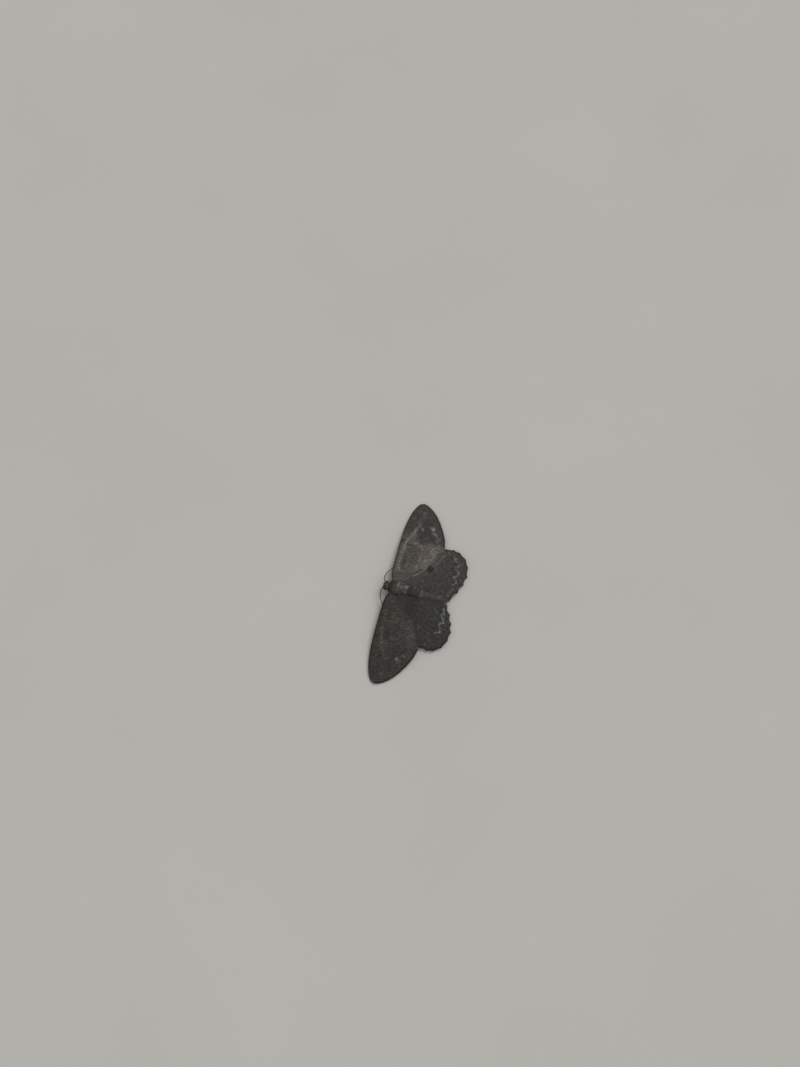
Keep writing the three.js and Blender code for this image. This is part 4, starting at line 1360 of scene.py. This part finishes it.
# Pale marks on the thorax and the abdomen, stronger on the right, where the extra strength is painted light
# on the side that faces the light: centre, radii and how far the tint moves.
PALE_HAIR_AND_LIT_SIDE = (
    ((-0.68, 3.45), (0.5, 0.24), 0.8), ((0.55, 3.4), (0.35, 0.2), 0.35), ((-0.1, 3.6), (0.3, 0.2), 0.4),
    ((-0.25, 4.35), (0.22, 0.5), 0.6), ((0.2, 4.3), (0.18, 0.4), 0.25), ((-1.15, 4.4), (0.2, 0.45), 0.4),
    ((-0.55, 5.15), (0.55, 0.26), 0.75), ((0.6, 5.1), (0.34, 0.22), 0.35), ((-1.05, 7.0), (0.4, 0.28), 0.75),
    ((-0.45, 8.8), (0.35, 0.25), 0.35), ((0.45, 8.8), (0.35, 0.25), 0.3), ((-0.6, 13.0), (0.6, 0.3), 0.4),
)
COLLAR_SEAM = [(-1.2, 2.35), (0, 2.2), (1.2, 2.35)]
LIMB = np.array([0.075, 0.068, 0.06])


def body_tint(points):
    """Colours over the head, thorax and abdomen."""
    x, y, z = points.T
    plan = points[:, :2]
    tint = np.tile(GREY * 1.3, (len(points), 1))
    tint = mix(tint, BROWN, 0.22 * (1 - smoothstep(2.1, 3.1, y)))
    tint = mix(tint, SOOT, near(plan, COLLAR_SEAM, 0.16) * 0.6)
    # Where the dark waist reaches further back on the left, it is painted shadow of the body on its left
    # side.
    rear = y - 1.3 * smoothstep(-0.7, -0.2, x)  # the dark waist reaches further back on the left
    tint = mix(tint, SOOT, smoothstep(5.3, 5.9, y) * (1 - smoothstep(6.8, 7.3, rear)) * 0.55)
    # Pale hair, painted stronger on the right side as painted light on the lit side.
    for centre, radii, share in PALE_HAIR_AND_LIT_SIDE:
        tint = mix(tint, CHALK * 0.72, blob(plan, centre, radii) * share)
    segment = (y - WAIST) / (TAIL - WAIST) * ABDOMEN_SEGMENTS
    behind, phase = smoothstep(1.2, 1.6, segment), segment % 1
    tint = mix(tint, SOOT, behind * (1 - smoothstep(0.12, 0.45, phase)) * 0.3)
    tint = mix(tint, CHALK * 0.45, behind * smoothstep(0.72, 0.92, phase) * 0.2)
    return mix(tint, UNDER, (1 - smoothstep(0.9, 1.5, z)) * 0.7)


def eye_frame(word):
    """The middle of an eye, the way it looks, two ways round its rim, and its radius."""
    low, high = node_box(f"eye_{word}")
    eye = node_box(f"eye_{word}").mean(0) - ORIGIN
    out = unit(eye - (0.12 * SIDES[word], HEAD_BEHIND_EYES + EYE_BEHIND_FRONT, eye[2]))
    across = unit(np.cross(out, (0, 0, 1)))
    return eye, out, across, np.cross(across, out), (high[2] - low[2]) / 2


EYE_RIM = 0.455  # radius of the raised rim round an eye
# Swellings on the left of the trunk: centre, radii, and turn about the vertical in degrees.
SWELLINGS = (
    ((0.56, 1.12, 1.84), (0.38, 0.32, 0.52), 10),  # cheek
    ((0.45, 1.95, 2.45), (0.5, 0.3, 0.34), 14),  # collar
    ((1.02, 2.95, 2.25), (0.4, 0.95, 0.32), 6),  # flap over the forewing's root
    ((0.96, 2.02, 1.92), (0.6, 0.42, 0.42), 24),  # shoulder
    ((1.2, 4.15, 1.9), (0.66, 1.05, 0.3), 0),  # between the roots of the wings
)


def make_skin(trunk, limbs):
    """The one skin under the coat, from the head to the tail, feelers and feet."""
    head, thorax, abdomen = (guide["middle"] for guide in trunk.values())
    neck = spline([head[5], (0, 1.55, 1.75), thorax[6]], 0.1)
    waist = spline([thorax[-6], (0, 5.6, 1.75), abdomen[8]], 0.1)
    guides = [*trunk.values(), sweep(neck, *NECK_SIZE, AROUND), sweep(waist, *WAIST_SIZE, AROUND)]
    for word, side in SIDES.items():
        eye, out, across, up, _ = eye_frame(word)
        turn = np.linspace(0, 2 * np.pi, 49)[:-1, None]
        rim = eye - out * 0.03 + (across * np.cos(turn) + up * np.sin(turn)) * EYE_RIM
        guides.append(sweep(np.vstack([rim, rim[:2]]), 0.045, around=8))
        for centre, radii, turn in SWELLINGS:
            guides.append(ball(np.array(centre) * (side, 1, 1), radii, turn * side))
    points, triangles = remeshed(*joined(tube_mesh(guide) for guide in guides), SKIN_VOXEL)
    trunk_mesh = smoothed(points, triangles, 4), triangles
    points, triangles = united(trunk_mesh, [tube_mesh(guide) for guide in limbs])
    on_limb = np.abs(points[:, 0]) > 1.0
    tint = np.where(on_limb[:, None], LIMB * 0.7, body_tint(points) * 0.6)
    # A dark ring round each eye: painted shade in the crease where the eye meets the head.
    for word in SIDES:
        from_eye = np.linalg.norm(points - eye_frame(word)[0], axis=1)
        tint = mix(tint, SOOT * 0.3, 1 - smoothstep(0.52, 0.6, from_eye))
    replaced = [f"{name}_{word}" for name in ("antenna", "palp", *LEG_JOINTS) for word in SIDES]
    make_piece("skin", points, triangles, "cuticle", "body", replaces=[*trunk, *replaced], tint=tint)
    return trunk_mesh


# ------------------------------------------------------------------ the body's coat

ORBIT_SCALES = 170  # round each eye, in two rows
ORBIT_ROWS = 0.458, 0.495  # how far from its middle
TRUNK_AXIS = 1.8  # height of the line that the trunk's map is rolled round


def settled(tree, points, limit):
    """The nearest places on the skin and its normals there, and which points were within the limit."""
    found = [tree.find_nearest(Vector(point), limit) for point in points]
    kept = np.array([f[0] is not None for f in found])
    spots, normals = (np.array([tuple(f[k]) for f in found if f[0] is not None]) for k in range(2))
    return spots, normals, kept


def combed(tree, guide, row, pitch, rng):
    """Places over the skin round a guide: points, normals, ways along, and places on its own map."""
    points, _, ways, places = rows_on(guide, row, pitch, rng)
    spots, normals, kept = settled(tree, points, 0.3)
    return spots, normals, ways[kept], 0.02 + places[kept] * 0.96


def scattered(trunk_mesh, spacing, rng, start, end):
    """Places over the trunk between two distances from the front: points, normals, and places on its map."""
    points, triangles = trunk_mesh
    a, b, c = (points[triangles[:, k]] for k in range(3))
    cross = np.cross(b - a, c - a)
    size = np.linalg.norm(cross, axis=1) * ((a[:, 1] > start) & (a[:, 1] < end))
    count = int(size.sum() / 2 / spacing**2 * 6)
    face = rng.choice(len(size), count, p=size / size.sum())
    first, second = rng.random((2, count, 1))
    over = first + second > 1
    first, second = np.where(over, 1 - first, first), np.where(over, 1 - second, second)
    spots = a[face] + (b - a)[face] * first + (c - a)[face] * second
    kept = np.unique(np.floor(spots / spacing), axis=0, return_index=True)[1]
    spots, normals = spots[kept], unit(cross[face[kept]])
    turn = np.arctan2(spots[:, 2] - TRUNK_AXIS, spots[:, 0]) / (2 * np.pi) + 0.5
    along = np.clip((spots[:, 1] - start) / (end - start), 0, 1)
    return spots, normals, 0.02 + 0.96 * np.column_stack([turn, along])


def backwards(count):
    return np.tile([0.0, 1.0, 0.0], (count, 1))


def ruffled(ways, normals, untidy, rng):
    """Ways made a little untidy and pressed flat onto the surface."""
    return along_surface(ways + rng.normal(0, untidy, ways.shape), normals)


def thorax_coat(trunk_mesh):
    """Shaggy hair-scales that lie back, longer on the flaps over the wing roots and at the rear."""
    rng = dice(100)
    roots, normals, places = scattered(trunk_mesh, 0.085, rng, 1.25, 6.1)
    x, y, z = roots.T
    count = len(roots)
    flap = smoothstep(0.6, 0.9, np.abs(x)) * smoothstep(1.5, 2.1, z) * smoothstep(1.9, 2.5, y)
    collar = 1 - smoothstep(2.0, 2.4, y)
    rear = smoothstep(4.3, 5.2, y)
    ahead = smoothstep(0.5, 0.9, -normals[:, 1])
    upright = np.column_stack([0.4 * np.clip(x, -1, 1), np.zeros(count), np.full(count, 1.1)])
    outwards = np.outer(np.sign(x) * (0.1 + 0.55 * flap), (1, 0, 0))
    ways = backwards(count) + outwards + ahead[:, None] * upright
    lies = ruffled(ways, normals, 0.15, rng)
    trailing = smoothstep(4.5, 5.4, y) * smoothstep(1.5, 2.0, z)
    lies = unit(mix(lies, unit(np.array([0, 1, -0.22]) + rng.normal(0, 0.13, (count, 3))), trailing))
    lengths = 0.42 + 0.26 * flap + 0.3 * rear + 0.3 * trailing - 0.08 * collar - 0.1 * ahead
    lengths = lengths * rng.uniform(0.8, 1.15, count)
    rise = 0.32 + 0.1 * collar + 0.12 * flap - 0.12 * rear + 0.3 * ahead + rng.uniform(-0.06, 0.06, count)
    tint = speckle(body_tint(roots + lies * 0.2), rng, spreading=0.2)
    coat = hairs(roots, normals, lies, lengths, rng.uniform(0.055, 0.08, count), rise, 0.24, tint, places)
    make_coat("coat_thorax", [coat], "body")


def abdomen_coat(tree, guide):
    """Flat scales in rows, a fringe behind each segment, longer hair at the sides and a tuft at the tail."""
    rng = dice(101)
    roots, normals, ways, places = combed(tree, guide, 0.1, 0.08, rng)
    lies = ruffled(ways, normals, 0.12, rng)
    tint = speckle(body_tint(roots), rng, spreading=0.2)
    flat = scales(roots, normals, lies, *sizes("abdomen", len(roots), rng), tint, places)
    roots, normals, ways, places = combed(tree, guide, 0.06, 0.05, rng)
    segment = (roots[:, 1] - WAIST) / (guide["middle"][-1, 1] + 0.2 - WAIST) * ABDOMEN_SEGMENTS
    tail = smoothstep(7.3, 7.7, segment)
    hem = smoothstep(0.5, 0.9, segment % 1) * (segment > 0.7)
    flank = smoothstep(0.5, 0.85, np.abs(normals[:, 0])) * (normals[:, 2] > -0.3)
    front = smoothstep(1.6, 0.8, segment) * (normals[:, 2] > -0.2)
    kept = rng.random(len(roots)) < np.maximum.reduce([hem * 0.6, tail * 0.8, flank * 0.55, front * 0.5])
    found = roots, normals, ways, places, tail, flank
    roots, normals, ways, places, tail, flank = (values[kept] for values in found)
    count = len(roots)
    lies = ruffled(ways, normals, 0.14, rng)
    sideways = np.column_stack([np.sign(normals[:, 0]), np.zeros(count), np.full(count, 0.1)])
    lies = unit(lies + sideways * (0.6 * flank * rng.uniform(0.4, 1.2, count))[:, None])
    tint = speckle(body_tint(roots), rng, spreading=0.2)
    tufted = hairs(
        roots, normals, lies, rng.uniform(0.3, 0.44, count) * (1 + 0.35 * tail + 0.3 * flank),
        rng.uniform(0.045, 0.07, count), 0.2 + 0.1 * tail, 0.16, tint, places,
    )
    make_coat("coat_abdomen", [flat, tufted], "body")


def orbit_coat(tree, word, rng):
    """Small scales in two rows on the raised rim round an eye."""
    eye, out, across, up, _ = eye_frame(word)
    turn = rng.permutation(np.arange(ORBIT_SCALES)) / ORBIT_SCALES * 4 * np.pi
    away = np.outer(np.cos(turn), across) + np.outer(np.sin(turn), up)
    far = np.where(turn < 2 * np.pi, *ORBIT_ROWS)[:, None]
    roots, normals, kept = settled(tree, eye + out * 0.02 + away * far, 0.2)
    away, turn, count = away[kept], turn[kept], len(roots)
    round_rim = np.cross(away, out) * (0.9 * (turn < 2 * np.pi))[:, None]
    behind = (away[:, 1] > -0.2)[:, None]
    ways = away * 0.5 + round_rim + np.where(behind, (0, 0.4, 0), (0, 0, -0.6))
    return scales(
        roots, normals, ruffled(ways, normals, 0.08, rng), *sizes("orbit", count, rng), np.full(count, 0.02),
        speckle(body_tint(roots), rng, spreading=0.22),
        np.column_stack([0.1 + turn / 16, np.full(count, 0.985 if word == "right" else 0.99)]),
    )


def palp_coat(palp, k, rng):
    """Shaggy hair, shorter towards the tip. k is the palp's place on the bake map."""
    points, out, ways, spots = rows_on(palp, 0.045, 0.045, rng)
    count = len(points)
    lies = ruffled(ways, out, 0.16, rng)
    lengths = rng.uniform(0.17, 0.27, count) * (1 - 0.45 * smoothstep(0.5, 0.85, spots[:, 1]))
    tint = speckle(mix(np.tile(GREY, (count, 1)), SOOT, 0.35 * (out[:, 2] > 0)), rng)
    places = (0.02 + 0.5 * k, 0.66) + spots * (0.46, 0.32)
    return hairs(points, out, lies, lengths, rng.uniform(0.035, 0.05, count), 0.36, 0.18, tint, places)


def head_coat(trunk_mesh, palps):
    """Small scales down the face, a tuft over the crown, and shaggy palps."""
    rng = dice(102)
    roots, normals, places = scattered(trunk_mesh, 0.058, rng, -0.5, 1.3)
    clear = np.ones(len(roots), bool)
    for word in SIDES:
        eye, *_, radius = eye_frame(word)
        clear &= np.linalg.norm(roots - eye, axis=1) > radius - 0.015
    roots, normals, places = roots[clear], normals[clear], places[clear] * (1, 0.64)
    x, y, z = roots.T
    count = len(roots)
    face = (1 - smoothstep(0.35, 0.8, y))[:, None]
    down = np.column_stack([0.25 * x, np.full(count, -0.1), np.full(count, -1.0)])
    lies = ruffled(backwards(count) * (1 - face) + down * face, normals, 0.14, rng)
    tint = speckle(body_tint(roots), rng, spreading=0.22)
    coats = [scales(roots, normals, lies, *sizes("face", count, rng), tint, places)]
    crown = (z > 2.2) & (rng.random(count) < 0.9)
    roots, normals, tint, places = roots[crown], normals[crown], tint[crown] * 1.05, places[crown]
    count = len(roots)
    ahead = (1 - smoothstep(0.5, 1.0, y[crown]))[:, None]
    forwards = np.column_stack([x[crown] * 0.4, -np.ones(count), np.zeros(count)])
    lies = ruffled(backwards(count) * (1 - ahead) + forwards * ahead, normals, 0.2, rng)
    coats.append(hairs(roots, normals, lies, *sizes("crown", count, rng), 0.5, 0.3, tint, places))
    tree = search_tree(*trunk_mesh)
    coats += [orbit_coat(tree, word, rng) for word in SIDES]
    coats += [palp_coat(palp, k, rng) for k, palp in enumerate(palps)]
    make_coat("coat_head", coats, "body")


def limb_coat(name, guides, row, pitch, length, width):
    """Small scales over thin limbs. Each limb has its own strip of the bake map."""
    rng = dice(0, name)
    coats = []
    for k, guide in enumerate(guides):
        points, out, ways, places = rows_on(guide, row, pitch, rng)
        count = len(points)
        lies = ruffled(ways, out, 0.1, rng)
        tint = mix(np.tile(LIMB, (count, 1)), UNDER * 1.5, 0.35 * (out[:, 2] < -0.3))
        for joint in guide.get("joints", ()):
            tint = mix(tint, CHALK * 0.6, 0.6 * np.exp(-(((places[:, 1] - joint) / 0.012) ** 2)))
        coats.append(scales(
            points, out, lies, length * rng.uniform(0.85, 1.2, count),
            width * rng.uniform(0.85, 1.15, count), length * rng.uniform(0.12, 0.2, count),
            speckle(tint, rng),
            np.column_stack([(k + 0.06 + 0.88 * places[:, 0]) / len(guides), 0.02 + 0.96 * places[:, 1]]),
        ))
    make_coat(name, coats, "limb")


# ------------------------------------------------------------------ eyes, tongue, claws and spurs


def make_eyes():
    for word in SIDES:
        low, high = box(f"eye_{word}")
        centre, radius = (low + high) / 2, (high[2] - low[2]) / 2 - 0.02
        bm = bmesh.new()
        bmesh.ops.create_icosphere(bm, subdivisions=5, radius=1.0)
        points = np.array([v.co for v in bm.verts])
        triangles = np.array([[v.index for v in f.verts] for f in bm.faces])
        bm.free()
        points = centre + points * radius * (0.97, 0.98, 1.0)
        make_piece(f"eye_ball_{word}", points, triangles, "eye", "eye", replaces=[f"eye_{word}"])


TONGUE_TURNS = 2.6
TONGUE_STEPS = 150


def make_tongue():
    """The coiled tongue between the palps."""
    low, high = box("proboscis")
    centre, outer = (low + high) / 2, (high[2] - low[2]) / 2 - 0.05
    share = np.linspace(0, 1, TONGUE_STEPS)
    turn = share * TONGUE_TURNS * 2 * np.pi - np.pi / 2
    out = outer * (1 - 0.72 * share)
    path = np.column_stack([np.zeros(TONGUE_STEPS), -np.cos(turn) * out, np.sin(turn) * out]) + centre
    mouth, bend = (0, centre[1] + 0.45, centre[2] + 0.02), (0, centre[1] + 0.25, low[2] + 0.12)
    lead = spline([mouth, bend, path[0]], 0.03)
    path = np.vstack([lead[:-1], path])
    thick = np.linspace(0.06, 0.025, len(path)) * (1 + 0.08 * np.sin(np.arange(len(path)) * 1.1))
    points, triangles = tube_mesh(sweep(path, thick, around=12))
    make_piece("tongue", points, triangles, "horn", "limb", replaces=["proboscis"])


CLAW_BEND = (0, 0, -0.12)
# How far down the shin each pair of spurs sits.
SPURS = {"foreleg": (0.6,), "midleg": (0.97,), "hindleg": (0.6, 0.97)}


def spike(root, way, length, thick, bend=(0, 0, 0)):
    """A tapering point that starts out one way and may bend another."""
    share = np.linspace(0, 1, 9)[:, None]
    path = np.asarray(root) + np.asarray(way) * length * share + np.asarray(bend) * length * share**2
    return tube_mesh(sweep(path, thick * (1 - 0.93 * share[:, 0] ** 1.3), around=8))


def make_horny_parts(legs):
    """Two claws on each foot, and spurs at the shins' ends."""
    meshes = []
    for (name, _), guide in legs.items():
        foot, way = guide["middle"][-1], guide["along"][-1]
        across = unit(np.cross(way, (0, 0, 1)))
        for turn in (-1, 1):
            meshes.append(spike(foot - way * 0.03, unit(way + across * turn * 0.7), 0.2, 0.035, CLAW_BEND))
        knee, ankle = guide["corners"][2:4]
        shin = unit(ankle - knee)
        across = unit(np.cross(shin, (0, 0, 1)))
        down = np.cross(across, shin) * np.sign(np.cross(across, shin)[2]) * -1
        for place in SPURS[name]:
            for turn, length in ((-1, 0.42), (1, 0.32)):
                root = knee + (ankle - knee) * place + down * 0.06
                meshes.append(spike(root, unit(shin + across * turn * 0.3 + down * 0.15), length, 0.04))
    points, triangles = joined(meshes)
    make_piece("claws_and_spurs", points, triangles, "horn", "limb")


def make_body():
    trunk = {
        "head": head_guide(),
        "thorax": trunk_guide("thorax", COAT_DEPTH["thorax"], 40),
        "abdomen": abdomen_guide(),
    }
    palps = [palp_guide(word) for word in SIDES]
    antennae = [antenna_guide(word) for word in SIDES]
    legs = {(name, word): leg_guide(name, word) for name in LEG_JOINTS for word in SIDES}
    trunk_mesh = make_skin(trunk, [*palps, *antennae, *legs.values()])
    thorax_coat(trunk_mesh)
    abdomen_coat(search_tree(*trunk_mesh), trunk["abdomen"])
    head_coat(trunk_mesh, palps)
    limb_coat("coat_legs", list(legs.values()), row=0.085, pitch=0.07, length=0.16, width=0.075)
    limb_coat("coat_antennae", antennae, row=0.055, pitch=0.042, length=0.085, width=0.04)
    make_eyes()
    make_tongue()
    make_horny_parts(legs)


# ------------------------------------------------------------------ camera, light and floor

CAMERA_LENS = 27.0
CAMERA_FILM = 36.0
CAMERA_DISTANCE = 187.19  # from the point of the floor in the middle of the picture
CAMERA_TILT = 18.0  # degrees from straight down
CAMERA_TURN = 14.6  # degrees from the moth's length to the picture's width
AIM = (-13.33, 0.55)  # that point of the floor, in the moth's frame


def make_camera():
    turn, tilt = math.radians(CAMERA_TURN), math.radians(CAMERA_TILT)
    right = Vector((-math.sin(turn), math.cos(turn), 0))
    down_the_floor = Vector((math.cos(turn), math.sin(turn), 0))
    up = Vector((0, 0, 1))
    forward = -down_the_floor * math.sin(tilt) - up * math.cos(tilt)
    picture_up = up * math.sin(tilt) - down_the_floor * math.cos(tilt)
    place = Vector(world((*AIM, 0))) - forward * CAMERA_DISTANCE * MM
    data = bpy.data.cameras.new("camera")
    data.sensor_fit = "VERTICAL"
    data.sensor_height = CAMERA_FILM
    data.sensor_width = CAMERA_FILM
    data.lens = CAMERA_LENS
    data.clip_start = 0.001
    camera = new_object("camera", data)
    columns = Matrix((right, picture_up, -forward)).transposed()
    camera.matrix_world = Matrix.Translation(place) @ columns.to_4x4()
    bpy.context.scene.camera = camera


def soft_light(name, azimuth, elevation, width, strength):
    """An even light from far away. Angles are in degrees: azimuth 0 is ahead of the moth, 90 on its left."""
    turn, lift = math.radians(azimuth), math.radians(elevation)
    away = Vector((math.sin(turn) * math.cos(lift), -math.cos(turn) * math.cos(lift), math.sin(lift)))
    data = bpy.data.lights.new(name, "SUN")
    data.angle = math.radians(width)
    data.energy = strength
    data.color = (1.0, 0.985, 0.96)
    light = new_object(name, data)
    light.rotation_euler = away.to_track_quat("Z", "Y").to_euler()


def make_stage():
    bpy.ops.mesh.primitive_plane_add(size=3.0, location=(0, 0, 0))
    floor = bpy.context.object
    floor.name = "floor"
    floor.data.materials.append(MATERIALS["floor"])
    soft_light("key", azimuth=-120, elevation=48, width=33, strength=1.15)
    soft_light("fill", azimuth=60, elevation=60, width=45, strength=0.22)
    sky = bpy.data.worlds.new("sky")
    sky.use_nodes = True
    background = sky.node_tree.nodes["Background"]
    background.inputs["Color"].default_value = (1.0, 0.993, 0.95, 1)
    background.inputs["Strength"].default_value = 0.43
    bpy.context.scene.world = sky
    bpy.context.scene.view_settings.view_transform = "Standard"


make_camera()
make_stage()
make_wings()
make_body()
